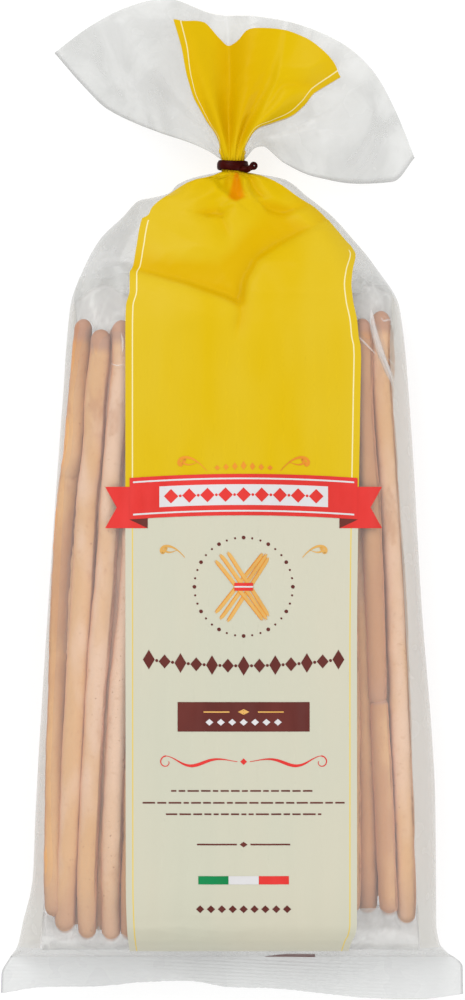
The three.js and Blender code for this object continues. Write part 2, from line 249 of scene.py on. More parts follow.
def stick_line(path, lie_at, bend):
    """A stick's centre line from its bottom to its top, with close steps at its round ends."""
    length = path[0][1] - path[-1][1]
    tip = TIP_LENGTH * (1 - np.cos(np.linspace(0, math.pi / 2, TIP_STEPS, endpoint=False)))
    middle = np.linspace(TIP_LENGTH, length - TIP_LENGTH, int(length / STICK_STEP))
    share = np.concatenate([tip, middle, length - tip[::-1]]) / length
    y = path[-1][1] + length * share
    phase = chance.uniform(0, 2 * math.pi, 4)
    sway = 0.55 * np.sin(2.2 * share + phase[0]) + 0.3 * np.sin(6.5 * share + phase[1])
    sway = sway + 0.14 * np.sin(17 * share + phase[3])
    x = x_down(path, y) + bend * sway
    z = np.array([lie_at(px, py) for px, py in zip(x, y)]) + 0.25 * np.sin(5.1 * share + phase[2])
    return np.column_stack([x, y, z])


def under_front(top_depth, bottom_depth):
    """The height of a stick that lies this deep under the front film. It dips a little at its bottom."""

    def height(x, y):
        tube = Section(min(max(y, FULL_FROM), FULL_TO), STICK_INSET)
        dip = END_DIP * smooth_step(-135, -172, y)
        depth = mix(bottom_depth, top_depth, share_up(y))
        return tube.point(tube.across(x), 1)[1] - depth - dip

    return height


def stick_lines():
    """All sticks bag by bag: each one's centre line, how baked, where torn and how thick it is."""
    bags = [[] for _ in range(5)]
    for row, torn_right in ((FRONT_ROW, True), (SECOND_ROW, False)):
        for path, top_depth, bottom_depth, bake, thick in row:
            line = stick_line(path, under_front(top_depth, bottom_depth), 0.2)
            tear = TEAR_TO_RIGHT if torn_right else chance.uniform(0, 2 * math.pi)
            bags[0 if path[0][0] < 0 else 1].append((line, bake, tear, thick))
    for z, per_side, spacing in INNER_ROWS:
        for side, gaps, lowest in ((-1, FROM_LEFT, LOWEST_LEFT), (1, FROM_RIGHT, LOWEST_RIGHT)):
            for k in range(per_side):
                path = []
                top, bottom = HIGHEST - chance.uniform(0, SHORTER), lowest + chance.uniform(0, SHORTER)
                for y, gap in ((top, gaps[1]), (bottom, gaps[0])):
                    tube = Section(y, STICK_INSET)
                    from_middle = tube.reach(z) - gap - spacing * k
                    path.append((tube.middle + side * from_middle, y))
                line = stick_line(path, lambda x, y, z=z: z + 1.5 * smooth_step(-150, -172, y), 0.5)
                bag = 2 if z == INNER_ROWS[0][0] else 3 + (side > 0)
                bags[bag].append((line, chance.uniform(0.2, 1), chance.uniform(0, 2 * math.pi), 1.0))
    for k in range(BACK_ROW_STICKS):
        share = 2 * k / (BACK_ROW_STICKS - 1) - 1
        z = BACK_ROW_HEIGHT + BACK_ROW_CURL * max(0.0, abs(share) - 0.8) / 0.2
        lowest = LOWEST_LEFT if share < 0 else LOWEST_RIGHT
        path = []
        for y in (HIGHEST - chance.uniform(0, SHORTER), lowest + chance.uniform(0, SHORTER)):
            path.append((Section(y).middle + share * Section(y, STICK_INSET).reach(z + 1), y))
        line = stick_line(path, lambda x, y, z=z: z + 1.5 * smooth_step(-155, -170, y), 0.4)
        bag = 3 if k < BACK_ROW_STICKS / 2 else 4
        bags[bag].append((line, chance.uniform(0.1, 0.8), chance.uniform(0, 2 * math.pi), 0.98))
    return bags


class Tree:
    """A geometry node group being built: named inputs, nodes, and links from outputs to inputs."""

    def __init__(self, name, **inputs):
        self.group = bpy.data.node_groups.new(name, "GeometryNodeTree")
        self.group.interface.new_socket("Geometry", in_out="INPUT", socket_type="NodeSocketGeometry")
        for title, kind in inputs.items():
            title = title.replace("_", " ")
            self.group.interface.new_socket(title, in_out="INPUT", socket_type="NodeSocket" + kind)
        self.group.interface.new_socket("Geometry", in_out="OUTPUT", socket_type="NodeSocketGeometry")
        self.given = self.group.nodes.new("NodeGroupInput").outputs
        self.out = self.group.nodes.new("NodeGroupOutput").inputs[0]

    def node(self, kind, *values, settings=None, **by_name):
        """A node, with its inputs given in order or by name, each a value or another node's output."""
        node = self.group.nodes.new(kind)
        for key, value in (settings or {}).items():
            setattr(node, key, value)
        sockets = [s for s in node.inputs if s.enabled]
        pairs = list(zip(sockets, values))
        pairs += [(next(s for s in sockets if s.name == k.replace("_", " ")), v) for k, v in by_name.items()]
        for socket, value in pairs:
            if isinstance(value, bpy.types.NodeSocket):
                self.group.links.new(value, socket)
            elif value is not None:
                socket.default_value = value
        return node

    def add(self, kind, *values, **rest):
        """The first output of a new node."""
        return next((s for s in self.node(kind, *values, **rest).outputs if s.enabled), None)

    def math(self, operation, *values):
        return self.add("ShaderNodeMath", *values, settings={"operation": operation})

    def attribute(self, name, kind="FLOAT"):
        return self.add("GeometryNodeInputNamedAttribute", name, settings={"data_type": kind})

    def store(self, geometry, name, value):
        settings = {"data_type": "FLOAT", "domain": "POINT"}
        return self.add("GeometryNodeStoreNamedAttribute", geometry, None, name, value, settings=settings)

    def finish(self, geometry, material):
        real = self.add("GeometryNodeRealizeInstances", geometry)
        self.group.links.new(self.add("GeometryNodeSetMaterial", real, Material=material), self.out)


def add_object(name, mesh):
    mesh.name = name
    thing = bpy.data.objects.new(name, mesh)
    bpy.context.scene.collection.objects.link(thing)
    return thing


def grown(name, start, tree, **inputs):
    """The plain mesh that a node group makes from a start mesh, as a new object at the origin."""
    seedling = add_object(name + "_start", start)
    modifier = seedling.modifiers.new("nodes", "NODES")
    modifier.node_group = tree.group
    for item in tree.group.interface.items_tree:
        title = item.name.replace(" ", "_")
        if item.in_out == "INPUT" and title in inputs:
            modifier[item.identifier] = inputs[title]
    bpy.context.view_layer.update()
    evaluated = seedling.evaluated_get(bpy.context.evaluated_depsgraph_get())
    mesh = bpy.data.meshes.new_from_object(evaluated)
    bpy.data.objects.remove(seedling)
    return add_object(name, mesh)


def mesh_of(name, points, faces, edges=(), attributes=None):
    """A mesh from points in millimetres, with numbers stored at its points."""
    mesh = bpy.data.meshes.new(name)
    mesh.from_pydata((np.asarray(points) * MM).tolist(), list(edges), [list(f) for f in faces])
    for title, values in (attributes or {}).items():
        mesh.attributes.new(title, "FLOAT", "POINT").data.foreach_set("value", np.ravel(values).tolist())
    mesh.update()
    return mesh


# Lumps in the dough, as (how close together, height, detail): long swellings, knuckles, a fine unevenness.
LUMPS = [(40.0, 1.5, 1.0), (140.0, 0.9, 2.0), (520.0, 0.22, 2.0)]
TEAR_NARROWNESS, TEAR_DEPTH = 11.0, 2.0


def stick_tree():
    """Sweeps a round section along each centre line, rounds its ends and makes it lumpy."""
    tree = Tree("breadsticks", Radius="Float", Sides="Int", Material="Material")
    lines = tree.add("GeometryNodeMeshToCurve", tree.given["Geometry"])
    along = tree.node("GeometryNodeSplineParameter").outputs
    total = tree.add("GeometryNodeSplineLength")
    radius = tree.math("MULTIPLY", tree.given["Radius"], tree.attribute("thickness"))
    from_end = tree.math("MINIMUM", along["Length"], tree.math("SUBTRACT", total, along["Length"]))
    end_share = tree.math("DIVIDE", from_end, tree.math("MULTIPLY", radius, 1.1))
    short = tree.math("SUBTRACT", 1.0, tree.math("MINIMUM", end_share, 1.0))
    whole = tree.math("SUBTRACT", 1.0, tree.math("MULTIPLY", short, short))
    rounded = tree.math("SQRT", tree.math("MAXIMUM", whole, 0.002))
    lines = tree.store(lines, "along", along["Factor"])
    ring = tree.add("GeometryNodeCurvePrimitiveCircle", Resolution=tree.given["Sides"], Radius=1.0)
    girth = tree.math("MULTIPLY", radius, rounded)
    dough = tree.add("GeometryNodeCurveToMesh", lines, ring, girth, True)

    place = tree.add("GeometryNodeInputPosition")
    batch = tree.attribute("batch")
    four_ways = {"noise_dimensions": "4D"}
    height = None
    for scale, depth, detail in LUMPS:
        noise = tree.add("ShaderNodeTexNoise", place, batch, scale, detail, settings=four_ways)
        lump = tree.math("MULTIPLY", tree.math("SUBTRACT", noise, 0.5), depth * MM)
        height = lump if height is None else tree.math("ADD", height, lump)
    outward = tree.add("GeometryNodeInputNormal")
    facing = tree.node("ShaderNodeSeparateXYZ", outward).outputs
    tear = tree.attribute("tear")
    to_tear = tree.math("ADD", tree.math("MULTIPLY", facing["X"], tree.math("COSINE", tear)),
                        tree.math("MULTIPLY", facing["Z"], tree.math("SINE", tear)))
    off = tree.math("MULTIPLY", tree.math("SUBTRACT", 1.0, to_tear), TEAR_NARROWNESS)
    near = tree.math("MAXIMUM", tree.math("SUBTRACT", 1.0, off), 0.0)
    rough = tree.add("ShaderNodeTexNoise", place, batch, 700.0, 3.0, settings=four_ways)
    torn = tree.math("MULTIPLY", near, tree.math("SUBTRACT", rough, 0.5))
    slow = tree.add("ShaderNodeTexNoise", place, batch, 40.0, 1.0, settings=four_ways)
    darker = tree.math("ADD", tree.math("MULTIPLY", rough, 0.7), tree.math("MULTIPLY", slow, 1.4))
    dough = tree.store(dough, "torn", tree.math("MULTIPLY", near, tree.math("SUBTRACT", darker, 0.6)))
    # how far each point faces sideways, for the flanks' bake and their painted shade
    dough = tree.store(dough, "sideways", tree.math("SUBTRACT", 1.0, facing["Z"]))
    height = tree.math("ADD", height, tree.math("MULTIPLY", torn, TEAR_DEPTH * MM))
    push = tree.add("ShaderNodeVectorMath", outward, Scale=height, settings={"operation": "SCALE"})
    dough = tree.add("GeometryNodeSetPosition", dough, Offset=push)
    dough = tree.add("GeometryNodeSetShadeSmooth", dough)
    tree.finish(dough, tree.given["Material"])
    return tree


class Finish:
    """A procedural material being built on Object coordinates around one Principled shader."""

    def __init__(self, name, **settings):
        self.material = bpy.data.materials.new(name)
        self.material.use_nodes = True
        self.nodes, self.links = self.material.node_tree.nodes, self.material.node_tree.links
        self.shader = self.nodes["Principled BSDF"]
        for title, value in settings.items():
            self.shader.inputs[title.replace("_", " ")].default_value = value
        self.place = self.nodes.new("ShaderNodeTexCoord").outputs["Object"]

    def stretched(self, scale):
        """Object coordinates scaled along each axis, for a pattern that runs along the piece."""
        mapping = self.nodes.new("ShaderNodeMapping")
        mapping.inputs["Scale"].default_value = scale
        self.links.new(self.place, mapping.inputs["Vector"])
        return mapping.outputs[0]

    def noise(self, scale, detail=3.0, roughness=0.55, stretch=(1, 1, 1), distortion=0.0):
        node = self.nodes.new("ShaderNodeTexNoise")
        self.links.new(self.stretched(stretch), node.inputs["Vector"])
        settings = {"Scale": scale, "Detail": detail, "Roughness": roughness, "Distortion": distortion}
        for title, value in settings.items():
            node.inputs[title].default_value = value
        return node.outputs["Fac"]

    def attribute(self, name):
        node = self.nodes.new("ShaderNodeAttribute")
        node.attribute_name = name
        return node.outputs["Fac"]

    def math(self, operation, a, b=0.0):
        node = self.nodes.new("ShaderNodeMath")
        node.operation = operation
        for socket, value in zip(node.inputs, (a, b)):
            if isinstance(value, (int, float)):
                socket.default_value = value
            else:
                self.links.new(value, socket)
        return node.outputs[0]

    def band(self, value, low, high, to_low=0.0, to_high=1.0):
        """value from low to high, mapped to to_low .. to_high and held past them."""
        node = self.nodes.new("ShaderNodeMapRange")
        node.interpolation_type = "SMOOTHSTEP"
        self.links.new(value, node.inputs["Value"])
        limits = {"From Min": low, "From Max": high, "To Min": to_low, "To Max": to_high}
        for title, number in limits.items():
            node.inputs[title].default_value = number
        return node.outputs[0]

    def blend(self, share, first, second):
        node = self.nodes.new("ShaderNodeMix")
        node.data_type = "RGBA"
        colours = [s for s in node.inputs if s.type == "RGBA"]
        for socket, value in ((node.inputs["Factor"], share), (colours[0], first), (colours[1], second)):
            if isinstance(value, bpy.types.NodeSocket):
                self.links.new(value, socket)
            else:
                socket.default_value = value
        return next(s for s in node.outputs if s.type == "RGBA")

    def bump(self, height, strength, distance):
        node = self.nodes.new("ShaderNodeBump")
        node.inputs["Strength"].default_value = strength
        node.inputs["Distance"].default_value = distance
        self.links.new(height, node.inputs["Height"])
        self.links.new(node.outputs[0], self.shader.inputs["Normal"])

    def colour(self, socket):
        self.links.new(socket, self.shader.inputs["Base Color"])

    def roughness(self, socket):
        self.links.new(socket, self.shader.inputs["Roughness"])


def bread_finish():
    """Pale baked crust: tan patches, ruddier flanks that are partly a browner bake and partly painted shade,
    browner tips and torn side, fine pores and specks.
    """
    finish = Finish("baked_bread", Roughness=0.7, Specular_IOR_Level=0.2)
    patches = finish.band(finish.noise(34, 3, 0.6, (1, 0.35, 1)), 0.36, 0.64, -0.5, 0.65)
    baked = finish.math("ADD", patches, finish.attribute("bake"))
    colour = finish.blend(finish.band(baked, 0.0, 1.1), BREAD_PALE, BREAD_TAN)
    colour = finish.blend(finish.band(baked, 1.1, 2.2, 0.0, 0.85), colour, BREAD_DEEP)
    spots = finish.band(finish.noise(95, 3, 0.6, (1, 0.5, 1)), 0.57, 0.75, 0.0, 0.5)
    colour = finish.blend(spots, colour, BREAD_DEEP)
    # painted shade: faces turned sideways, away from the light above, go ruddier; partly the crust's own
    # browner flanks, partly the shade on a stick's sides and in the gaps between sticks
    sides = finish.band(finish.attribute("sideways"), 0.2, 0.95, 0.0, 0.75)
    colour = finish.blend(sides, colour, BREAD_FLANK_BAKE_AND_SHADE)
    along = finish.attribute("along")
    colour = finish.blend(finish.band(along, 0.955, 0.975, 0.0, 0.85), colour, BREAD_TIP)
    colour = finish.blend(finish.band(along, 0.0, 0.11, 0.5, 0.0), colour, BREAD_TIP)
    grain = finish.noise(420, 4, 0.65)
    colour = finish.blend(finish.band(grain, 0.55, 0.78, 0.0, 0.35), colour, BREAD_DEEP)
    colour = finish.blend(finish.band(finish.attribute("torn"), 0.2, 0.6, 0.0, 0.85), colour, BREAD_BROWN)
    specks = finish.band(finish.noise(800, 2, 0.5), 0.70, 0.76, 0.0, 0.7)
    colour = finish.blend(specks, colour, BREAD_BROWN)
    finish.colour(colour)
    finish.roughness(finish.band(grain, 0.3, 0.7, 0.6, 0.8))
    finish.bump(finish.noise(700, 5, 0.7), 0.4, 0.5 * MM)
    return finish.material


THIN_AT_END, TAPER_LENGTH = 0.91, 14.0
BAKED_MORE_BELOW = 0.45  # towards a stick's bottom

bread = bread_finish()
sticks_from_lines = stick_tree()
bag_sticks = stick_lines()
for number, sticks in enumerate(bag_sticks, 1):
    points, edges = [], []
    at_points = {"thickness": [], "batch": [], "tear": [], "bake": []}
    for line, bake, tear, thick in sticks:
        count = len(line)
        edges += [(len(points) + k, len(points) + k + 1) for k in range(count - 1)]
        points += line.tolist()
        wave = 0.03 * np.sin(np.linspace(0, 11, count) + chance.uniform(0, 6))
        from_bottom = line[:, 1] - line[0, 1]
        to_end = np.minimum(from_bottom, line[-1, 1] - line[:, 1])
        taper = mix(THIN_AT_END, 1, smooth_step(0, TAPER_LENGTH, to_end))
        at_points["thickness"] += (thick * (1 + wave) * taper).tolist()
        at_points["batch"] += [chance.uniform(0, 40)] * count
        at_points["tear"] += [tear] * count
        at_points["bake"] += (bake + BAKED_MORE_BELOW * smooth_step(90, 10, from_bottom)).tolist()
    start = mesh_of("stick_lines", points, [], edges, at_points)
    piece = grown(f"breadsticks_{number}", start, sticks_from_lines, Radius=STICK_RADIUS * MM,
                  Sides=STICK_SIDES, Material=bread)
    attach(piece, "root")
    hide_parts("bag")

# ---------------------------------------------------------------- small inner bags
# Each portion of sticks is in a thin clear bag of its own, pressed flat above and below the sticks. Two bags
# are in front and three behind. What shows is the crumpled film round the front row's tips, and its creases,
# which are near-white strips of painted highlight.

INNER_BAG_ENDS = [(-175.5, 88), (-175.5, 87.5), (-167.5, 68), (-167, 67), (-167.5, 68)]  # bottom and top
BAGS_IN_FRONT = 2
FILM_SPACE = 0.55  # between a stick and its bag
INNER_INSET = FILM_INSET + 0.75
BAG_COLUMNS, BAG_ROWS = 160, 150
# Where a bag in front starts to be pressed flat and to be crumpled, and where it fully is. One behind is
# pressed sooner by so much, above and below.
PRESSED_ABOVE, PRESSED_BELOW = (70, 80), (-167, -173)
CRUMPLED_ABOVE, CRUMPLED_BELOW = (60, 73), (-158, -168)
BEHIND_LOWER, BEHIND_HIGHER = 12, 6
# Past the sticks' tips the film is milky, and it thins out where the outer film is crumpled too. Its rows
# are bent round each tip of the front row, dip between two tips, and fall off beside the outermost one.
TIPS_TOP, TIPS_BOTTOM = 71.5, -168.0
TIP_DIP, TIP_HALF = 6.0, 4.4
BESIDE_TIPS, BESIDE_SLOPE, DEEPEST_DIP = 9.0, 3.0, 9.0
TIPS_COVERED_LEFT, TIPS_COVERED_RIGHT = 0.6, 3.0
LOOSE_BELOW, LOOSE_ABOVE, THINNER_ABOVE = -174.5, 79.5, 83.5
# Painted highlights on the bags in front, where crumpled film catches the light: each is a doubled fold of
# near-white film, with its width and its path.
HIGHLIGHT_CREASES = {
    1: [
        (0.9, [(-42.8, 64.4), (-42.2, 61), (-42.3, 57)]),
        (0.5, [(-46.8, 52.9), (-44.5, 52), (-41.8, 52.3)]),
    ],
    2: [
        (0.8, [(48.7, 63.4), (51.9, 60.1), (55.9, 56.2)]),
        (2.8, [(53.8, 74), (54.4, 68), (56.6, 60), (60.3, 50), (64, 41)]),
        (1.5, [(54.4, 72.5), (54.8, 69), (56, 62.4), (58.4, 56), (62.8, 46.3), (64, 43.1)]),
        (0.8, [(57.5, 70.8), (59, 69.4), (60.6, 69.9), (62.4, 69.5)]),
        (0.6, [(60.3, 55), (62.4, 52.8), (64, 50.3)]),
    ],
}
CREASE_THICK = 0.22


def waves(x, y, length, seed, sharp=3):
    """Crossing creases of about one length: flat film with narrow ridges where sharp is large."""
    draw = np.random.default_rng(seed)
    height = 0
    for _ in range(7):
        angle, phase = draw.uniform(0, math.pi), draw.uniform(0, 2 * math.pi)
        stretch = draw.uniform(0.6, 1.7)
        along = x * math.cos(angle) + y * math.sin(angle)
        beside = y * math.cos(angle) - x * math.sin(angle)
        bent = along + 0.4 * length * np.sin(beside / (1.3 * length) + phase)
        patch = 0.5 + 0.5 * np.sin(beside / (1.9 * length) + 3 * phase)
        height = height + patch * (1 - np.abs(np.sin(math.pi * bent / (length * stretch) + phase))) ** sharp
    return height / 3 - 0.25


def crease_rings(wide, path):
    """Rings of six points round a doubled fold that narrows to nothing at both ends."""
    knots = np.array(path, float)
    t = np.linspace(0, 1, 22)
    at = np.linspace(0, 1, len(knots))
    line = np.column_stack([through(list(zip(at, knots[:, i])), t) for i in range(2)])
    way = np.gradient(line, axis=0)
    beside = np.column_stack([-way[:, 1], way[:, 0]]) / np.hypot(*way.T)[:, None]
    half = wide / 2 * (0.04 + np.sin(math.pi * t) ** 0.7)
    for (x, y), (bx, by), reach in zip(line, beside, half):
        tube = Section(y, FILM_INSET + 0.6)
        z = tube.point(tube.across(x), 1)[1]
        for share, lift in ((1, 0), (0.5, 1), (-0.5, 1), (-1, 0), (-0.5, -1), (0.5, -1)):
            yield x + bx * reach * share, y + by * reach * share, z + lift * CREASE_THICK / 2


def add_crease(points, faces, wide, path):
    """Adds one crease's closed skin to a bag's points and faces."""
    first, rings = len(points), list(crease_rings(wide, path))
    points += rings
    for k in range(len(rings) // 6 - 1):
        for j in range(6):
            a, b = first + 6 * k + j, first + 6 * k + (j + 1) % 6
            faces.append((a, a + 6, b + 6, b))
    faces.append([first + j for j in range(6)])
    faces.append([len(points) - 1 - j for j in range(6)])


def past_tips(x, top):
    """The line over the tips of the front row, at the top or at the bottom. It dips between them."""
    side, nominal = (1, TIPS_TOP) if top else (-1, -TIPS_BOTTOM)
    ends = [path[0 if top else -1] for path, *_ in FRONT_ROW]
    centres, tips = np.array([(ex, side * ey) for ex, ey in ends if side * ey > nominal - 20]).T
    away = np.abs(x[:, None] - centres)
    dip = TIP_DIP * (1 - np.sqrt(np.clip(1 - (away / TIP_HALF) ** 2, 0, 1)))
    line = tips - dip - BESIDE_SLOPE * np.maximum(away - BESIDE_TIPS, 0)
    return side * np.maximum(line.max(axis=1), nominal - DEEPEST_DIP)


CLEAR_FILM, CRUMPLED, CREASE_HIGHLIGHT, THIN, THINNEST = range(5)


def film_kind(y):
    """Which film an inner bag in front has at height y. Past the tips it thins out."""
    if y < TIPS_BOTTOM:
        return THIN
    if y < TIPS_TOP:
        return CLEAR_FILM
    if y < LOOSE_ABOVE:
        return CRUMPLED
    return THIN if y < THINNER_ABOVE else THINNEST


def inner_bag_ring(y, left, right, low, high, in_front, seed):
    """A ring of film round the sticks at one height, and the painted highlight of crumple ridges at each of
    its points.
    """
    up_y, down_y = (y, y) if in_front else (y + BEHIND_LOWER, y - BEHIND_HIGHER)
    tube = Section(y, INNER_INSET)
    left = max(left, tube.middle - tube.half + 0.2)
    right = min(right, tube.middle + tube.half - 0.2)
    u = 0.5 - 0.5 * np.cos(np.linspace(0, math.pi, BAG_COLUMNS // 2 + 1))
    x = left + (right - left) * u
    roof = np.minimum(tube.point(tube.across(x), 1)[1], high)
    floor = np.minimum(np.maximum(tube.point(tube.across(x), -1)[1], low), roof - 0.3)

    # pressed flat past the sticks, and crumpled there
    pressed = max(smooth_step(*PRESSED_ABOVE, up_y), smooth_step(*PRESSED_BELOW, down_y))
    loose = smooth_step(*CRUMPLED_ABOVE, up_y) + smooth_step(*CRUMPLED_BELOW, down_y)
    flat = min(max((low + high) / 2 + 3, tube.under + 3.0), tube.top - 6.0)
    flat = flat + 1.8 * np.sin(x / 9.0 + seed)
    crumple = waves(x, y, 8, seed, 2) + 0.6 * waves(x, y, 3.5, seed + 30, 2)
    roof = roof + (flat + 0.2 - roof) * pressed + crumple * (0.25 + 1.2 * loose) - 0.5 - 0.35 * loose
    floor = floor + (flat - 0.2 - floor) * pressed + crumple * loose * 0.9

    # deeper under the outer film where that begins to fold
    sunk = 1.2 * smooth_step(58, 64, y) + 5.6 * smooth_step(67, 75, y)
    roof = np.minimum(roof, tube.point(tube.across(x), 1)[1] - sunk)
    floor = np.minimum(floor, roof - 0.15)

    # bent round the tips of the front row, and wavy past them
    covered = np.where(x < 0, TIPS_COVERED_LEFT, TIPS_COVERED_RIGHT)
    at_top = smooth_step(44, 66, y) * (1 - smooth_step(72, 79, y))
    at_bottom = smooth_step(-175.4, -168.5, y) * (1 - smooth_step(-165, -140, y))
    drift = (past_tips(x, True) - covered - TIPS_TOP) * at_top
    drift = drift + (past_tips(x, False) + 0.3 - TIPS_BOTTOM) * at_bottom
    drift = drift * in_front + 9 * smooth_step(74, 82, y) * waves(x, 0 * x, 21, seed, 1)
    upper = np.column_stack([x, y + drift, roof])
    lower = np.column_stack([x, y + drift, floor])[-2:0:-1]
    # painted highlight: pale lines along sharp crumple ridges, for the light that such ridges catch
    ridge = np.clip(2.2 * waves(x, y + drift, 9, seed + 7, 7) + 0.35, 0, 1)
    return np.vstack([upper, lower]), np.concatenate([ridge, ridge[-2:0:-1]])


def inner_bag_mesh(sticks, bottom_y, top_y, in_front, seed, creases):
    """A tube round the sticks, held inside the outer film and pressed flat at both ends."""
    lines = [line for line, *_ in sticks]
    room = STICK_RADIUS + FILM_SPACE
    heights = np.concatenate([line[:, 2] for line in lines])
    low, high = heights.min() - room, heights.max() + room
    ends = [(min(l[k, 0] for l in lines) - room, max(l[k, 0] for l in lines) + room) for k in (0, -1)]
    rows, places, ridges = [], [], []
    for row in range(BAG_ROWS + 1):
        share = row / BAG_ROWS
        y = bottom_y + (top_y - bottom_y) * (0.5 - 0.5 * math.cos(math.pi * share))
        left = mix(ends[0][0], ends[1][0], share_up(y))
        right = mix(ends[0][1], ends[1][1], share_up(y))
        ring, ridge = inner_bag_ring(y, left, right, low, high, in_front, seed)
        rows.append(ring)
        places.append(y)
        ridges += ridge.tolist()
    count = len(rows[0])
    points, faces, kinds = np.vstack(rows).tolist(), [], []
    for row in range(BAG_ROWS):
        for i in range(count):
            a, b = row * count + i, row * count + (i + 1) % count
            faces.append((a, b, b + count, a + count))
            kinds.append(film_kind(places[row]) if in_front else CLEAR_FILM)
    for first, turned in ((0, False), (BAG_ROWS * count, True)):
        for i in range(BAG_COLUMNS // 2):
            ring = list(dict.fromkeys([i, -i % count, -(i + 1) % count, i + 1]))
            ring = [first + k for k in ring]
            faces.append(ring[::-1] if turned else ring)
            kinds.append(THIN if in_front else CLEAR_FILM)
    for wide, path in creases:
        add_crease(points, faces, wide, path)
    kinds += [CREASE_HIGHLIGHT] * (len(faces) - len(kinds))
    ridges += [0.0] * (len(points) - len(ridges))
    mesh = mesh_of("inner_bag", points, faces, attributes={"ridge": ridges})
    mesh.polygons.foreach_set("material_index", kinds)
    mesh.polygons.foreach_set("use_smooth", [True] * len(faces))
    return mesh


def film_finish(name, alpha, dark, light, roughness=0.22, crumpled=0.0):
    """Clear film, a little milky, with faint long streaks, cloudy creases where it is crumpled, and painted
    highlights along the ridges that the inner bags store.
    """
    finish = Finish(name, Specular_IOR_Level=0.6, Alpha=alpha)
    streaks = finish.band(finish.noise(26, 3, 0.6, (1, 0.25, 1)), 0.3, 0.7, 0.0, 1 - 0.5 * crumpled)
    clouds = finish.band(finish.noise(42, 4, 0.55, (1, 0.7, 1), 1.4), 0.38, 0.62, 0.0, 0.5 * crumpled)
    # painted highlights along crumple ridges, where a mesh stores them
    clouds = finish.math("ADD", clouds, finish.attribute("ridge"))
    finish.colour(finish.blend(finish.math("ADD", streaks, clouds), dark, light))
    finish.roughness(finish.band(finish.noise(60, 2), 0.3, 0.7, roughness - 0.06, roughness + 0.08))
    finish.bump(finish.noise(55, 3, 0.6, (1, 0.5, 1), 0.6), 0.25 + 0.35 * crumpled, 0.5 * MM)
    return finish.material


MILKY_DARK, MILKY_LIGHT = (0.54, 0.535, 0.51, 1), (0.90, 0.895, 0.87, 1)
inner_films = [
    film_finish("inner_film", 0.08, (0.58, 0.57, 0.56, 1), (0.72, 0.71, 0.70, 1)),
    film_finish("crumpled_film", 0.46, MILKY_DARK, MILKY_LIGHT, 0.35, crumpled=1.0),
    # painted highlight: near-white film on the doubled creases
    film_finish("creased_film", 0.24, (0.97, 0.93, 0.90, 1), (0.99, 0.96, 0.93, 1), 0.35),
    film_finish("thin_crumpled_film", 0.40, MILKY_DARK, MILKY_LIGHT, 0.35, crumpled=1.0),
    film_finish("thinnest_crumpled_film", 0.10, MILKY_DARK, MILKY_LIGHT, 0.35, crumpled=1.0),
]
for number, (sticks, ends) in enumerate(zip(bag_sticks, INNER_BAG_ENDS), 1):
    in_front = number <= BAGS_IN_FRONT
    mesh = inner_bag_mesh(sticks, *ends, in_front, 60 + number, HIGHLIGHT_CREASES.get(number, []))
    for material in inner_films:
        mesh.materials.append(material)
    inner_bag = add_object(f"inner_bag_{number}", mesh)
    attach(inner_bag, "root")
    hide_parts("bag")

# ---------------------------------------------------------------- the outer film
# One sheet of clear plastic film, made into a tube with a crimped seal across the bottom. The sticks fill
# the body; above them it is pleated into the neck and spreads out as a ruff with an open mouth. The printed
# fields are in the film, and each line between two fields is a line of the mesh.

SEAL_EDGE_Y = [-192.7, -190.3, -190.3, -188.6, -187.8, -190.5, -191.2, -193, -194.7, -195, -193]
SEAL_EDGE_LIFT = [2.5, 0.5, -1.5, 0.5, 2, 0.5, -1.5, -1, 1, 1.5, 0]
CRIMP_PITCH, CRIMP_DEPTH = 1.35, 0.22
MOUTH = [
    (-69.4, 174.7), (-55.4, 184.8), (-39.8, 192.4), (-24.2, 195), (-7.4, 189.6), (9.8, 188.2),
    (26.5, 185.1), (42.9, 177.7), (55, 167.3), (63.8, 152.1), (71.4, 133.8),
]
MOUTH_HEIGHT = [15, 19, 22, 25, 20, 25, 22, 25, 21, 17, 13]
# The ruff's two side folds in plan, as (share of the way up, x, y).
RUFF_LEFT_FOLD = [
    (0, -4.3, 132.8), (0.1, -9.5, 136.3), (0.3, -17.5, 139.8), (0.5, -28.5, 143.5), (0.75, -48.4, 152.5),
    (0.87, -58.5, 162.2), (1, -69.4, 174.7),
]
RUFF_RIGHT_FOLD = [
    (0, 5.1, 132.8), (0.1, 9.2, 137.4), (0.22, 12.2, 138), (0.35, 20.7, 131.4), (0.5, 32.5, 126.2),
    (0.75, 50, 123.6), (0.88, 62.8, 124.4), (1, 71.4, 133.8),
]

# The printed panel's edges in the body, as (y, x), and in the ruff, as (share of the way up, across).
PANEL_LEFT = [
    (-177, -39.6), (-165, -40.6), (-150, -41), (66, -41.2), (75, -41.0), (81, -39.6), (88, -39.6),
    (90.5, -38.4), (98, -37.1), (109.4, -34.9), (110.6, -32.6), (113.5, -31.2), (118.8, -25.0),
    (122.5, -19.3), (124.7, -14.5), (126, -8.5), (128, -4.0),
]
PANEL_RIGHT = [
    (-177, 44.9), (-170.4, 46.6), (-168.5, 47.6), (-164, 48.3), (-60, 48.3), (40, 49.6), (58.5, 49.9),
    (63, 49.0), (69.3, 48.4), (77.4, 46.8), (83.6, 46.2), (89.2, 46.8), (95.2, 48.0), (98.6, 46.3),
    (100.4, 44.6), (113.5, 32.8), (117.8, 26.0), (123.1, 18.5), (126.3, 11.7), (128, 4.8),
]
RUFF_PANEL_LEFT = [
    (0, -0.85), (0.08, -0.62), (0.177, -0.48), (0.335, -0.555), (0.47, -0.55), (0.57, -0.512),
    (0.77, -0.435), (0.895, -0.42), (1, -0.41),
]
RUFF_PANEL_RIGHT = [
    (0, 0.85), (0.06, 0.62), (0.12, 0.48), (0.26, 0.45), (0.405, 0.54), (0.53, 0.572),
    (0.63, 0.55), (0.735, 0.51), (0.855, 0.515), (1, 0.52),
]
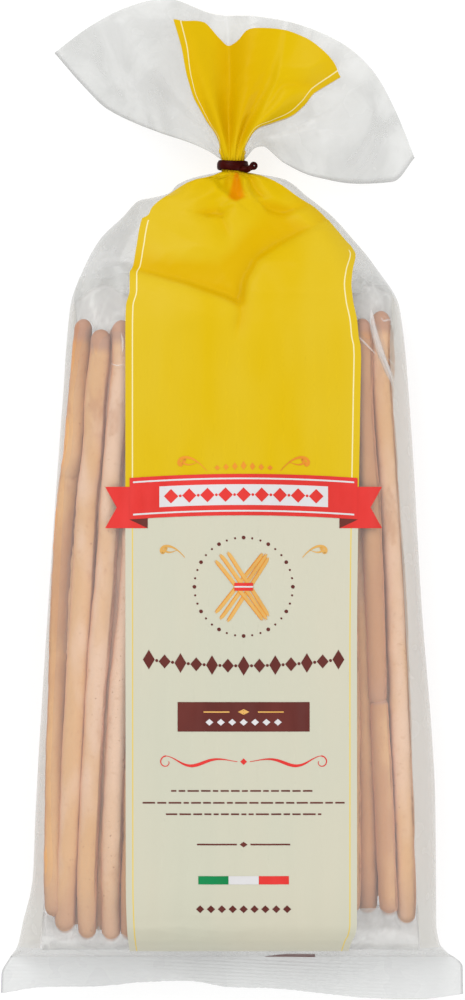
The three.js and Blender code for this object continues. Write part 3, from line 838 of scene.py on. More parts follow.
# Where the film begins to stand up beside the outermost sticks.
LEFT_WALL = [
    (-172, -74.5), (-156, -73), (-117, -72.6), (-78, -71.7), (-39, -70.4), (0, -67.7), (39, -63.8),
    (60, -61.8), (71, -60.5),
]
RIGHT_WALL = [
    (-172, 73), (-156, 71.8), (-117, 70.3), (-39, 66.8), (0, 64.7), (39, 62.2), (60, 61.2), (71, 62),
]
STRIPE_FROM_EDGE, STRIPE_WIDTH = 2.5, 0.5
STRIPE_TOP_LEFT, STRIPE_TOP_RIGHT = 108.4, 96.8  # above these the panel's edge is folded under
CREAM_END, CREAM_TOP = -175.8, 1.0
# The ragged top edge of the yellow field in the ruff, as (across, share of the way up).
PRINT_TOP = [
    (-1, 0.89), (-0.42, 0.895), (-0.38, 0.89), (-0.247, 0.93), (-0.228, 0.915), (-0.18, 0.855),
    (-0.132, 0.815), (-0.083, 0.845), (-0.035, 0.915), (0.015, 0.932), (0.145, 0.945), (0.25, 0.938),
    (0.345, 0.915), (0.435, 0.888), (0.518, 0.855), (1, 0.85),
]

# The grid's columns between the fold, the side wall's edge, the panel's edge, the two edges of each stripe,
# and the same again on the right. Then its rows along the bag.
COLUMNS = [8, 20, 2, 1, 64, 1, 2, 20, 8]
SEAL_ROWS, BEND_ROWS, SHOULDER_ROWS, RUFF_ROWS, HEM_ROWS = 44, 30, 88, 58, 12
BODY_ROWS = [29, 14]  # below and above the line where the yellow field meets the cream one
BEND_END, SHOULDERS = -160, 60  # between these the rows are far apart
NECK_ROWS = 6

# Folds in plan: width on the left and on the right of the way, height, how sharp, and the fold's path.
SHOULDER_FOLDS = [
    (12, 1.6, -4.2, 1.2, [(-38, 90), (-18.3, 85), (-2.7, 79.7), (2.5, 77.3), (4.6, 86), (9, 93.8),
                          (16.8, 99), (24.2, 103), (33, 107)]),
    (3.4, 1.4, -1.5, 1.2, [(3.0, 78.5), (3.0, 72), (1.2, 62)]),
    (7.0, 7.0, 1.8, 1.8, [(-26, 97), (-12, 99), (-3, 101), (2, 108)]),
    (9.0, 9.0, 1.6, 1.8, [(14, 86), (26, 92), (36, 95)]),
    (8.0, 8.0, 1.2, 1.8, [(-30, 76), (-12, 72), (-6, 70)]),
    (3.6, 1.1, -2.3, 1.1, [(-14.5, 112), (-7.8, 110.8), (-3.9, 110.8), (-0.5, 113.5)]),
    (4.8, 1.3, -2.5, 1.1, [(8.4, 118.4), (14.8, 112.7), (19.9, 111.5), (28.5, 114.2)]),
    (3.2, 1.1, -1.5, 1.1, [(-1, 101.5), (-2.6, 107), (-4.4, 111)]),
    (5.0, 4.0, 1.5, 1.6, [(-17, 115), (-9, 120), (-7.5, 124)]),
    (4.0, 4.0, 1.5, 1.6, [(12, 120.5), (22, 115), (34, 104)]),
    (0.9, 5.0, 2.4, 1.2, [(-9.2, 126.2), (-7.8, 124.7), (-3.5, 119.7), (2.0, 115.4)]),
    (4.0, 0.9, 2.2, 1.2, [(4.4, 127), (5.0, 121.5), (8.6, 116.6)]),
    (0.9, 4.5, 2.0, 1.2, [(-3.9, 113.2), (0, 115.6), (5, 117.2), (10, 117.6)]),
    (2.2, 2.2, -3.0, 1.5, [(2.2, 128), (2.0, 122.5), (1.4, 118.2)]),
    (1.0, 1.6, -1.5, 1.2, [(-5.4, 127), (-4.6, 122.5)]),
    (1.2, 0.9, -1.2, 1.2, [(-2.2, 127.4), (-1.6, 121.5)]),
    (1.2, 0.9, -1.2, 1.2, [(6.4, 127), (8.4, 121.5), (12, 117.5)]),
    (2.5, 1.2, 0.9, 1.2, [(-58, 78), (-48, 88), (-43, 93)]),
    (1.4, 2.4, -0.9, 1.2, [(-55, 73), (-46, 76), (-41, 75)]),
    (2.2, 1.2, -0.9, 1.2, [(-50, 84), (-44, 100), (-37, 112)]),
    (1.2, 2.4, 0.9, 1.2, [(47, 86), (54, 80), (58, 76)]),
    (2.2, 1.2, -0.9, 1.2, [(50, 97), (53, 84), (52, 72)]),
]
# The pocket under the neck, where the film turns in and its shade is painted on the print: its middle, its
# lower edge and how it widens.
POCKET_X, POCKET_LOW, POCKET_SPREAD = 1.8, 116.2, 0.34
RUFF_FOLDS = [
    (3.4, 8.0, -4.4, 1.3, [(0.4, 134.9), (-1.2, 150.9), (-0.8, 161.5), (-1.4, 177.1), (-2.5, 192)]),
    (9.0, 2.0, 2.4, 1.2, [(22.5, 188), (20.6, 178.8), (17.2, 162.6), (8.5, 145.2), (3.5, 136)]),
    (2.0, 4.0, -1.6, 1.2, [(36, 160.5), (27, 161.5), (19.5, 161.5), (12, 150)]),
    (1.4, 3.0, 0.8, 1.2, [(38, 172), (30, 168), (22, 168)]),
    (4.0, 2.0, -1.2, 1.3, [(-19, 186), (-15, 168), (-10, 152), (-3.5, 138)]),
    (3.0, 5.0, -1.5, 1.3, [(-62, 176), (-40, 166), (-22, 153), (-6, 139)]),
    (1.6, 4.0, 1.3, 1.2, [(-44, 186), (-32, 168), (-18, 153), (-6, 140)]),
    (1.5, 3.0, 1.2, 1.2, [(-55, 164), (-38, 158), (-22, 149)]),
    (4.0, 2.0, 1.3, 1.3, [(66, 142), (46, 146), (26, 143), (8, 138)]),
    (1.6, 4.0, -1.3, 1.2, [(54, 164), (40, 153), (24, 145), (8, 139)]),
    (1.6, 3.0, 1.0, 1.2, [(60, 128), (44, 134), (28, 138)]),
]


def fold_height(x, y, table):
    """The height of all folds in a table over the points x, y. A fold may be wider on one side."""
    height = 0
    for left_width, right_width, tall, sharp, path in table:
        away = np.full(len(x), 1e6)
        along, width = np.zeros(len(x)), np.ones(len(x))
        path = np.array(path, float)
        step = np.diff(path, axis=0)
        lengths = np.hypot(*step.T)
        turns = step[:-1, 0] * step[1:, 1] - step[:-1, 1] * step[1:, 0]
        for k, ((x0, y0), (dx, dy), length) in enumerate(zip(path, step, lengths)):
            t = np.clip(((x - x0) * dx + (y - y0) * dy) / length ** 2, 0, 1)
            gap = np.hypot(x - x0 - t * dx, y - y0 - t * dy)
            left = dx * (y - y0) - dy * (x - x0) > 0
            if k > 0:
                left = np.where(t == 0, turns[k - 1] < 0, left)
            if k < len(turns):
                left = np.where(t == 1, turns[k] < 0, left)
            nearer = gap < away
            along = np.where(nearer, (lengths[:k].sum() + t * length) / lengths.sum(), along)
            width = np.where(nearer, np.where(left, left_width, right_width), width)
            away = np.minimum(away, gap)
        fade = np.sin(math.pi * (0.14 + 0.72 * along))
        height = height + tall * np.exp(-((away / width) ** sharp)) * fade
    return height


def mixed(values, across):
    """A value from a list that runs in even steps across the film."""
    return through(list(zip(np.linspace(-1, 1, len(values)), values)), across)


# Between two sticks the film sinks by so much, fully at this distance from a stick's middle line. A stick
# counts a little past its tips too.
SUNK_BETWEEN, BESIDE_STICK, PAST_STICK = 0.45, 4.6, 8
# In the windows the film's rows are wavy at the shoulders, so that no straight edge shows there.
LEFT_WINDOW, RIGHT_WINDOW = (-40, -46), (48, 54)
WAVY_BY, WAVE_LENGTH = 4, 4.2


def between_sticks(x, y):
    """1 midway between two sticks of the front row, and 0 over one."""
    centres = []
    for path, *_ in FRONT_ROW:
        if path[-1][1] - PAST_STICK < y < path[0][1] + PAST_STICK:
            centres.append(x_down(path, y))
    nearest = np.abs(x[:, None] - np.array(centres)[None, :]).min(axis=1)
    return smooth_step(0, BESIDE_STICK, nearest)


def front_relief(x, y, across):
    """How far the front film stands out, and how deep it lies in a fold and how far into the pocket, which
    paint shade on the print there.
    """
    height = np.zeros_like(x)
    edge = 1 - np.abs(across) ** 8
    filled = smooth_step(-173, -164, y) * (1 - smooth_step(58, 74, y))
    if filled > 0:
        height -= SUNK_BETWEEN * filled * edge * between_sticks(x, y)

    # folds and creases of the shoulders, and pleats that gather towards the neck
    shoulder = smooth_step(60, 80, y) * (1 - smooth_step(124.5, 128, y))
    folds = fold_height(x, np.full_like(x, y), SHOULDER_FOLDS) * edge
    folds *= smooth_step(58, 70, y) * (1 - smooth_step(126.5, 128, y))
    gathers = smooth_step(112, 124, y) * (1 - smooth_step(126.5, 128, y))
    folds += 0.9 * gathers * edge * np.sin(17 * across + 0.4) * (0.6 + 0.4 * np.sin(5 * across + 1))
    height += folds + 0.55 * shoulder * edge * (waves(x, y, 19, 5, 2) + 0.4 * waves(x, y, 8, 9))

    # faint creases over the sticks and stronger ones above the seal
    height += 0.25 * edge * filled * waves(x, y * 0.3, 13, 11, 1)
    bottom = 1 - smooth_step(-172, -150, y)
    height += 0.5 * bottom * edge * smooth_step(SEAL_LINE, -175, y) * waves(x, y, 9, 15, 2)

    # painted shade: the print turns a deeper colour down in the fold valleys, where shade falls
    deep = 0.75 * np.clip(-folds / 1.7, 0, 1)
    # painted shade in the pocket under the neck, where the film turns in
    half = 0.7 + POCKET_SPREAD * (NECK_START - y)
    pocket = 1 - smooth_step(0.45 * half, half, np.abs(x - POCKET_X))
    pocket *= smooth_step(0, 1.2, y - POCKET_LOW + 0.5 * np.sin(x))
    return height, deep, pocket


def back_relief(x, y, across):
    """The same for the back film, which is creased at the shoulders only."""
    edge = 1 - np.abs(across) ** 8
    shoulder = smooth_step(78, 92, y) * (1 - smooth_step(124, 128, y))
    height = -0.8 * shoulder * edge * np.abs(waves(x, y, 16, 21, 2))
    return height, np.zeros_like(x), np.zeros_like(x)


def body_row(y, across, side):
    """Points of the filled part and the shoulders, with their depth in folds and in the pocket, which give
    the print its painted shade.
    """
    x = Section(y).point(across, side)[0]
    in_window = smooth_step(*LEFT_WINDOW, x) + smooth_step(*RIGHT_WINDOW, x)
    wave = WAVY_BY * in_window * np.sin(x / WAVE_LENGTH + 1)
    y_here = y + wave * smooth_step(68, 79, y) * (1 - smooth_step(81, 94, y))
    x, z, out_x, out_z = Section(y_here).point(across, side)
    relief = front_relief if side > 0 else back_relief
    height, deep, pocket = relief(x, y, across)
    x = x + 0.35 * out_x * height
    return np.column_stack([x, y_here, z + out_z * height]), deep, pocket


def seal_row(share, across, side):
    """Flat film with crimp ridges across it. Both layers are welded, so they run together."""
    y = mixed(SEAL_EDGE_Y, across) * (1 - share) + SEAL_LINE * share
    tube = Section(SEAL_BOTTOM * (1 - share) + SEAL_LINE * share)
    x = tube.point(across, side)[0]
    lift = mixed(SEAL_EDGE_LIFT, across) * (1 - share)
    held = smooth_step(0.0, 0.06, share) * (1 - smooth_step(0.86, 0.98, share))
    slant = 0.03 * x + 0.8 * np.sin(x / 31.0)
    pressed = 0.15 + 0.85 * smooth_step(-25, 15, x) * (1 - smooth_step(48, 66, x))
    crimp = CRIMP_DEPTH * held * pressed * np.cos(2 * math.pi * (y + slant) / CRIMP_PITCH)
    ripple = 0.7 * (1 - share) * waves(x, y, 14, 31, 2) + 0.25 * waves(x, y, 5, 33, 2)
    ragged = 0.35 * (1 - smooth_step(0, 0.1, share)) * waves(x, 0 * x, 4, 35, 1)
    apart = side * (0.12 + 0.25 * (share > 0.999))
    return np.column_stack([x, y + ragged, SEAL_Z + lift + crimp + ripple + apart]), 0 * x, 0 * x


NECK_PLEATS, PLEAT_DEPTH, UNDER_TIE = 22, 0.1, 0.15


def neck_row(y, across, side):
    """The film pressed together in pleats under the tie."""
    angle = math.pi / 2 * across
    # deep is the pleats' depth and also the painted shade in their hollows
    deep = 0.5 + 0.5 * np.cos(NECK_PLEATS * angle)
    pleat = 1 - PLEAT_DEPTH * deep
    x = NECK_X + (NECK_RADIUS_X - UNDER_TIE) * np.sin(angle) * pleat
    z = NECK_Z + side * (NECK_RADIUS_Z - UNDER_TIE) * np.cos(angle) * pleat
    return np.column_stack([x, np.full_like(x, y), z]), deep, 0 * x


def mouth_line(across):
    """The mouth's outline as a smooth curve through its points."""
    points = np.array([MOUTH[0], *MOUTH, MOUTH[-1]], float)
    at = (across + 1) / 2 * (len(MOUTH) - 1)
    k = np.clip(at.astype(int), 0, len(MOUTH) - 2)
    t = (at - k)[:, None]
    a, b, c, d = (points[k + i] for i in range(4))
    bend, twist = 2 * a - 5 * b + 4 * c - d, 3 * b - a - 3 * c + d
    return 0.5 * (2 * b + (c - a) * t + bend * t ** 2 + twist * t ** 3)


def ruff_plan(share, across, side):
    """Where the ruff's film lies in plan, share of the way from the neck to the mouth."""
    start = neck_row(NECK_END, across, side)[0]
    mouth = mouth_line(across)
    share = share * np.ones_like(across)
    s = share[:, None]
    r = 1 - s

    def swept_out(start, mouth, across):
        upwards = start + np.column_stack([5.8 * across, 14.4 + 3 * across])
        towards = start + 0.62 * (mouth - start)
        towards[:, 1] -= np.abs(across) ** 3 * (23 + 8.3 * across)
        return r ** 3 * start + 3 * r * r * s * upwards + 3 * r * s * s * towards + s ** 3 * mouth

    plan = swept_out(start[:, :2], mouth, across)
    for edge, table in ((-1.0, RUFF_LEFT_FOLD), (1.0, RUFF_RIGHT_FOLD)):
        at_edge = np.full_like(across, edge)
        free = swept_out(neck_row(NECK_END, at_edge, side)[0][:, :2], mouth_line(at_edge), at_edge)
        held = np.column_stack([through([(t, v[i]) for t, *v in table], share) for i in range(2)])
        plan += (np.clip(across * edge, 0, 1) ** 3)[:, None] * (held - free)
    return plan, start[:, 2]


def ruff_row(share, across, side):
    """The ruff's film, pleated and creased, which opens from the neck towards the mouth."""
    plan, start_z = ruff_plan(share, across, side)
    x, y = plan.T
    middle = NECK_Z + (mixed(MOUTH_HEIGHT, across) - NECK_Z) * share ** 0.8
    opening = (start_z - NECK_Z) * (1 - share) ** 2
    swell = 3.0 * np.sin(math.pi * share) * (1 - across ** 2)
    apart = side * (swell + 0.6 * np.minimum(1, 4 * share) * (1 - across ** 8))
    edge = (1 - across ** 8)
    pleats = 1.1 * np.sin(math.pi * np.minimum(1, share * 1.6)) * (1 - share) * np.sin(17 * across + 0.8)
    folds = fold_height(x, y, RUFF_FOLDS) * smooth_step(0.0, 0.3, share)
    crinkle = smooth_step(0.1, 0.5, share) * (0.7 * waves(x, y, 19, 41, 2) + 0.35 * waves(x, y, 8, 43))
    z = middle + opening + apart + (pleats + folds * (1 if side > 0 else 0.6) + crinkle) * edge
    # painted shade: the print turns deeper in the ruff's fold and pleat valleys
    deep = np.clip(0.3 - (folds + 0.8 * pleats) / 3.6, 0, 0.8)
    return np.column_stack([x, y, np.maximum(z, 1.0)]), deep, 0 * x


def film_lines(kind, at):
    """Where the lines of the print cross this row, from the left fold to the right one."""
    if kind in ("ruff", "hem", "neck"):
        up = {"ruff": at * 0.9, "hem": 0.9 + 0.1 * at, "neck": 0.0}[kind]
        left, right = through(RUFF_PANEL_LEFT, up), through(RUFF_PANEL_RIGHT, up)
        inset, wide = 0.034, 0.007
        left_wall, right_wall = 0.5 * left - 0.5, 0.5 * right + 0.5
    else:
        y = SEAL_LINE if kind == "seal" else at
        tube = Section(y)
        left, right = tube.across(through(PANEL_LEFT, y)), tube.across(through(PANEL_RIGHT, y))
        inset, wide = min(STRIPE_FROM_EDGE / tube.girth, 0.05), min(STRIPE_WIDTH / tube.girth, 0.01)
        left_wall = min(tube.across(through(LEFT_WALL, y)), 0.8 * left - 0.2)
        right_wall = max(tube.across(through(RIGHT_WALL, y)), 0.8 * right + 0.2)
    stripes = [left + inset, left + inset + wide, right - inset - wide, right - inset]
    return [-1, left_wall, left, *stripes, right, right_wall, 1]


def film_rows():
    """Every row of the film from the seal's edge to the mouth, as its kind and its place."""
    rows = [("seal", share) for share in np.linspace(0, 1, SEAL_ROWS, endpoint=False)]
    rows += [("body", y) for y in np.linspace(SEAL_LINE, BEND_END, BEND_ROWS, endpoint=False)]
    rows += [("body", y) for y in np.linspace(BEND_END, CREAM_TOP, BODY_ROWS[0], endpoint=False)]
    rows += [("body", y) for y in np.linspace(CREAM_TOP, SHOULDERS, BODY_ROWS[1], endpoint=False)]
    rows += [("body", y) for y in np.linspace(SHOULDERS, NECK_START, SHOULDER_ROWS, endpoint=False)]
    rows += [("neck", y) for y in np.linspace(NECK_START, NECK_END, NECK_ROWS, endpoint=False)]
    rows += [("ruff", share) for share in np.linspace(0, 1, RUFF_ROWS, endpoint=False) ** 1.15]
    rows += [("hem", share) for share in np.linspace(0, 1, HEM_ROWS)]
    return rows


def film_row(kind, at, across, side):
    """Points of one row, and how deep each lies in a fold and how far into the pocket, for the print's
    painted shade.
    """
    if kind == "seal":
        return seal_row(at, across, side)
    if kind == "body":
        return body_row(at, across, side)
    if kind == "neck":
        return neck_row(at, across, side)
    top = through(PRINT_TOP, across)
    return ruff_row(top * at if kind == "ruff" else top + (1 - top) * at, across, side)


CLEAR, SIDE_WALL, LOOSE, SEALED, YELLOW, CREAM, WHITE_LINE, GOLD_LINE = range(8)


def field_at(kind, at, strip):
    """The printed field in one cell of the grid. strip counts the spaces between the print's lines."""
    if kind == "seal":
        return SEALED
    printed = (kind == "body" and at > CREAM_END) or kind in ("neck", "ruff")
    if not printed or strip in (0, 1, 7, 8):
        if kind != "body" or not LOOSE_BELOW < at < LOOSE_ABOVE:
            return LOOSE
        return SIDE_WALL if strip in (0, 8) else CLEAR
    low = kind == "body" and at < CREAM_TOP
    stripe_top = STRIPE_TOP_LEFT if strip == 3 else STRIPE_TOP_RIGHT
    if strip in (3, 5) and (kind == "ruff" or at < stripe_top):
        return GOLD_LINE if low else WHITE_LINE
    return CREAM if low else YELLOW


def film_mesh():
    """The whole sheet, row by row round the tube, with its printed fields as materials."""
    strips = np.repeat(np.arange(len(COLUMNS)), COLUMNS)
    rows = film_rows()
    points, deeps, pockets, faces, fields = [], [], [], [], []
    for kind, at in rows:
        lines = film_lines(kind, at)
        parts = [np.linspace(a, b, n, endpoint=False) for a, b, n in zip(lines, lines[1:], COLUMNS)]
        across = np.concatenate(parts + [[1.0]])
        front, back = film_row(kind, at, across, 1), film_row(kind, at, across, -1)
        round_row = [np.concatenate([f, b[-2:0:-1]]) for f, b in zip(front, back)]
        points.append(round_row[0])
        deeps.append(round_row[1])
        pockets.append(round_row[2])
    round_count = len(points[0])
    front_count = len(strips)
    for r, (kind, at) in enumerate(rows[:-1]):
        for i in range(round_count):
            a, b = r * round_count + i, r * round_count + (i + 1) % round_count
            faces.append((a, b, b + round_count, a + round_count))
            strip = strips[i] if i < front_count else strips[round_count - 1 - i]
            fields.append(field_at(kind, at, strip))
    for i in range(front_count):
        faces.append(list(dict.fromkeys([i, -i % round_count, round_count - i - 1, i + 1])))
        fields.append(SEALED)
    shades = {"deep": np.concatenate(deeps), "pocket": np.concatenate(pockets)}
    mesh = mesh_of("film", np.vstack(points), faces, attributes=shades)
    mesh.polygons.foreach_set("material_index", fields)
    mesh.polygons.foreach_set("use_smooth", [True] * len(faces))
    return mesh


# painted shade inside the pocket under the neck
POCKET_PAINTED_SHADE = (0.70, 0.26, 0.0, 1)


def ink_finish(name, colour, shade, deep, pocket=None, roughness=0.34):
    """Ink under glossy film: an even field, a shade deeper in broad soft streaks, and painted shade in the
    folds and in the pocket.
    """
    finish = Finish(name, Specular_IOR_Level=0.05)
    streaks = finish.noise(22, 3, 0.55, (1, 0.3, 1))
    colours = finish.blend(finish.band(streaks, 0.35, 0.68), colour, shade)
    # painted shade: the deep colour in the fold valleys, and the pocket colour under the neck
    colours = finish.blend(finish.band(finish.attribute("deep"), 0.0, 1.0), colours, deep)
    if pocket:
        colours = finish.blend(finish.attribute("pocket"), colours, pocket)
    finish.colour(colours)
    finish.roughness(finish.band(finish.noise(70, 2), 0.3, 0.7, roughness - 0.06, roughness + 0.08))
    finish.bump(finish.noise(60, 3, 0.6, (1, 0.4, 1), 0.5), 0.15, 0.5 * MM)
    return finish.material


film_sheet = film_mesh()
for material in (
    film_finish("clear_film", 0.13, (0.58, 0.56, 0.54, 1), (0.72, 0.70, 0.68, 1)),
    film_finish("side_wall_film", 0.46, (0.53, 0.51, 0.455, 1), (0.64, 0.62, 0.56, 1)),
    film_finish("loose_clear_film", 0.42, (0.45, 0.455, 0.435, 1), (0.66, 0.665, 0.645, 1), crumpled=1.0),
    film_finish("sealed_film", 0.45, (0.59, 0.60, 0.595, 1), (0.68, 0.69, 0.685, 1), 0.3),
    # Each ink's third colour is its painted shade in the folds
    ink_finish("yellow_field", (0.645, 0.45, 0.018, 1), (0.635, 0.42, 0.001, 1), (0.62, 0.375, 0.0, 1),
               POCKET_PAINTED_SHADE),
    ink_finish("cream_field", (0.555, 0.55, 0.44, 1), (0.58, 0.555, 0.44, 1), (0.53, 0.51, 0.41, 1)),
    ink_finish("white_line", (0.79, 0.70, 0.36, 1), (0.77, 0.68, 0.33, 1), (0.76, 0.66, 0.3, 1)),
    ink_finish("gold_line", (0.73, 0.56, 0.14, 1), (0.69, 0.53, 0.14, 1), (0.66, 0.46, 0.08, 1)),
):
    film_sheet.materials.append(material)
film = add_object("film", film_sheet)
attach(film, "root")
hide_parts("bag")

# ---------------------------------------------------------------- the print on the panel
# Flat printed shapes on the front of the film: a ribbon, scrolls, crossed sticks in a ring, lozenges, a
# plate, a flourish, rows of dashes and three bars. Each ink is one piece, laid onto the film from above.

PRINT_X = 4.5  # the print's centre line
PRINT_ABOVE = 60.0  # where the flat shapes wait to be laid onto the film
PRINT_STEP = 1.3
PRINT_LIFT, LAYER_LIFT = 0.10, 0.05


class Ink:
    """Flat shapes of one colour, each a small grid of faces so that it can follow the film."""

    def __init__(self, name, colour, shade):
        self.name, self.colour, self.shade = name, colour, shade
        self.points, self.layers, self.faces = [], [], []

    def grid(self, rows, layer=0):
        """Rows of (x, y) points, all of one length, joined into faces that look up."""
        rows = np.array(rows, float)
        start, wide = len(self.points), rows.shape[1]
        self.points += [(PRINT_X + x, y, PRINT_ABOVE) for x, y in rows.reshape(-1, 2)]
        self.layers += [layer] * (rows.shape[0] * wide)
        a, b, c = rows[0, 0], rows[0, 1], rows[1, 0]
        up = (b[0] - a[0]) * (c[1] - a[1]) - (b[1] - a[1]) * (c[0] - a[0]) > 0
        for r in range(rows.shape[0] - 1):
            for k in range(wide - 1):
                p = start + r * wide + k
                face = (p, p + 1, p + 1 + wide, p + wide)
                self.faces.append(face if up else face[::-1])

    def patch(self, corners, layer=0):
        """A four-cornered patch."""
        a, b, c, d = np.array(corners, float)
        wide = max(2, int(max(math.dist(a, b), math.dist(d, c)) / PRINT_STEP) + 2)
        tall = max(2, int(max(math.dist(a, d), math.dist(b, c)) / PRINT_STEP) + 2)
        u, v = np.linspace(0, 1, wide)[None, :, None], np.linspace(0, 1, tall)[:, None, None]
        self.grid((1 - v) * ((1 - u) * a + u * b) + v * ((1 - u) * d + u * c), layer)

    def bar(self, x0, x1, y0, y1, layer=0):
        self.patch([(x0, y0), (x1, y0), (x1, y1), (x0, y1)], layer)

    def lozenge(self, x, y, wide, tall, layer=0):
        self.patch([(x - wide / 2, y), (x, y - tall / 2), (x + wide / 2, y), (x, y + tall / 2)], layer)

    def stroke(self, points, widths, layer=0):
        """A line of changing width through points."""
        points, widths = np.array(points, float), np.broadcast_to(widths, len(points))
        way = np.gradient(points, axis=0)
        side = np.column_stack([-way[:, 1], way[:, 0]]) / np.hypot(*way.T)[:, None]
        half = side * (widths[:, None] / 2)
        self.grid(np.stack([points + half, points - half]), layer)

    def disc(self, x, y, radius, layer=0, inner=0.0, turn=(0, 2 * math.pi), steps=28):
        angles = np.linspace(*turn, steps)
        ring = np.column_stack([np.cos(angles), np.sin(angles)])
        radii = np.linspace(max(inner, 0.02), radius, max(2, int((radius - inner) / PRINT_STEP) + 2))
        self.grid([(x, y) + ring * r for r in radii], layer)


def scroll(ink, x, y, side, size):
    """A tendril that rises outwards and rolls up, with a smaller one springing from it the other way."""
    for scale, lean, roll, at in ((1.0, 0.9, -1, 0.0), (0.5, -0.5, 1, 0.3)):
        t = np.linspace(0, 1, 70)
        turn = lean + roll * (1.2 * t + 6.5 * t ** 3)
        path = np.cumsum(np.column_stack([np.cos(turn), np.sin(turn)]) * (1.15 - t)[:, None], axis=0)
        path *= size * scale / 34
        path = np.column_stack([side * path[:, 0], path[:, 1]]) + (x + side * at * size * 0.9, y + at * size)
        ink.stroke(path[::-side], (0.3 + 0.8 * np.sin(math.pi * t) ** 2)[::-side] * scale ** 0.5)
        ink.disc(*path[-1], 0.8 * scale ** 0.5, steps=12)


def dashes(ink, y, half_length, tall, seed, longest=5.0):
    """A centred row of short dashes of uneven length."""
    draw = np.random.default_rng(seed)
    x = -half_length
    while x < half_length - 1:
        length = min(draw.uniform(0.35, 1) * longest, half_length - x)
        ink.bar(x, x + length, y - tall / 2, y + tall / 2)
        x += length + 0.9


red = Ink("print_red", (0.70, 0.035, 0.03, 1), (0.62, 0.028, 0.022, 1))
white = Ink("print_white", (0.66, 0.65, 0.66, 1), (0.62, 0.61, 0.61, 1))
brown = Ink("print_brown", (0.105, 0.018, 0.014, 1), (0.13, 0.024, 0.018, 1))
gold = Ink("print_gold", (0.70, 0.40, 0.11, 1), (0.62, 0.33, 0.075, 1))
orange = Ink("print_orange", (0.74, 0.28, 0.02, 1), (0.66, 0.21, 0.015, 1))
green = Ink("print_green", (0.0, 0.22, 0.065, 1), (0.0, 0.19, 0.05, 1))


def ribbon():
    """A ribbon with folded, forked tails, a white field and a row of lozenges."""
    half, tall, y0, bow = 44.0, 16.0, 0.5, 1.6

    def raised(share):
        return y0 + bow * (1 - share ** 2)

    def band(ink, low, high, reach, layer):
        share = np.linspace(-reach, reach, 60)
        levels = np.linspace(low, high, 11)
        ink.grid([np.column_stack([share * half, raised(share) + tall * v]) for v in levels], layer)

    for side in (-1, 1):
        x0, x1 = side * (half - 7), side * (half + 9.5)
        y1 = y0 - 3.4
        notch = x1 - side * 4.5
        red.patch([(x0, y1 - tall / 2), (x1, y1 - tall / 2), (notch, y1), (x0, y1)], 0)
        red.patch([(x0, y1), (notch, y1), (x1, y1 + tall / 2), (x0, y1 + tall / 2)], 0)
        under = [(side * half, y0 - tall / 2), (x0, y0 - tall / 2 + 0.4), (x0, y1 - tall / 2)]
        brown.patch([*under, (side * half, y0 - tall / 2 - 0.1)], 1)
    band(red, -0.5, 0.5, 1.0, 2)
    band(white, -0.41, -0.37, 0.97, 3)
    band(white, 0.37, 0.41, 0.97, 3)
    band(white, -0.25, 0.25, 0.74, 3)
    for k in range(-4, 5):
        x = k * 7.0
        red.lozenge(x, raised(x / half), 5.6, 5.6, 4)
        if k < 4:
            red.disc(x + 3.5, raised((x + 3.5) / half), 0.55, 4, steps=12)
    return raised(0) + tall / 2


def crossed_sticks(y):
    """Two bundles of sticks that cross in a ring of dots, tied with a band."""
    for side in (-1, 1):
        for k in range(-1, 2):
            angle = math.pi / 2 + side * (0.62 + 0.05 * k)
            way = np.array([math.cos(angle), math.sin(angle)])
            beside = np.array([-way[1], way[0]]) * 2.1 * k
            t = np.linspace(-1, 1, 24)
            length = 15.5 - abs(k) * 0.8
            ends = np.sqrt(np.clip(1 - (np.abs(t) * 1.02) ** 18, 0.05, 1))
            line = (0, y) + beside + np.outer(t * length, way)
            gold.stroke(line, 1.55 * ends, 2 if side > 0 else 0)
            orange.stroke(line + np.array([-way[1], way[0]]) * 0.62, 0.3 * ends, 3 if side > 0 else 1)
    red.patch([(-3.6, y - 1.5), (3.6, y - 1.5), (3.6, y + 1.5), (-3.6, y + 1.5)], 4)
    white.bar(-3.6, 3.6, y - 0.3, y + 0.3, 5)
    ring, dots = 19, 36
    for k in range(dots):
        angle = 2 * math.pi * k / dots
        brown.disc(ring * math.cos(angle), y + ring * math.sin(angle), 0.42 if k % 3 else 0.75, 0, steps=10)


def flourish(y, half, tall):
    """A swelling line with a curl at each end and a lozenge in the middle."""
    for side in (-1, 1):
        t = np.linspace(0, 1, 46)
        x = side * (2.4 + (half - 2.4) * t ** 0.9)
        wave = y + tall * np.sin(2.5 * math.pi * t) * (0.3 + 0.7 * t)
        red.stroke(np.column_stack([x, wave])[::-side], 0.25 + 0.95 * np.sin(math.pi * t)[::-side] ** 2)
        turn = np.linspace(0, 1.6 * math.pi, 26)
        radius = 2.4 * (1 - 0.55 * turn / turn[-1])
        centre = np.array([x[-1], wave[-1] - 2.4])
        curl = centre + np.column_stack([side * radius * np.sin(turn), radius * np.cos(turn)])
        red.stroke(curl, np.linspace(0.5, 0.25, len(curl)))
    red.lozenge(0, y, 2.6, 2.6)


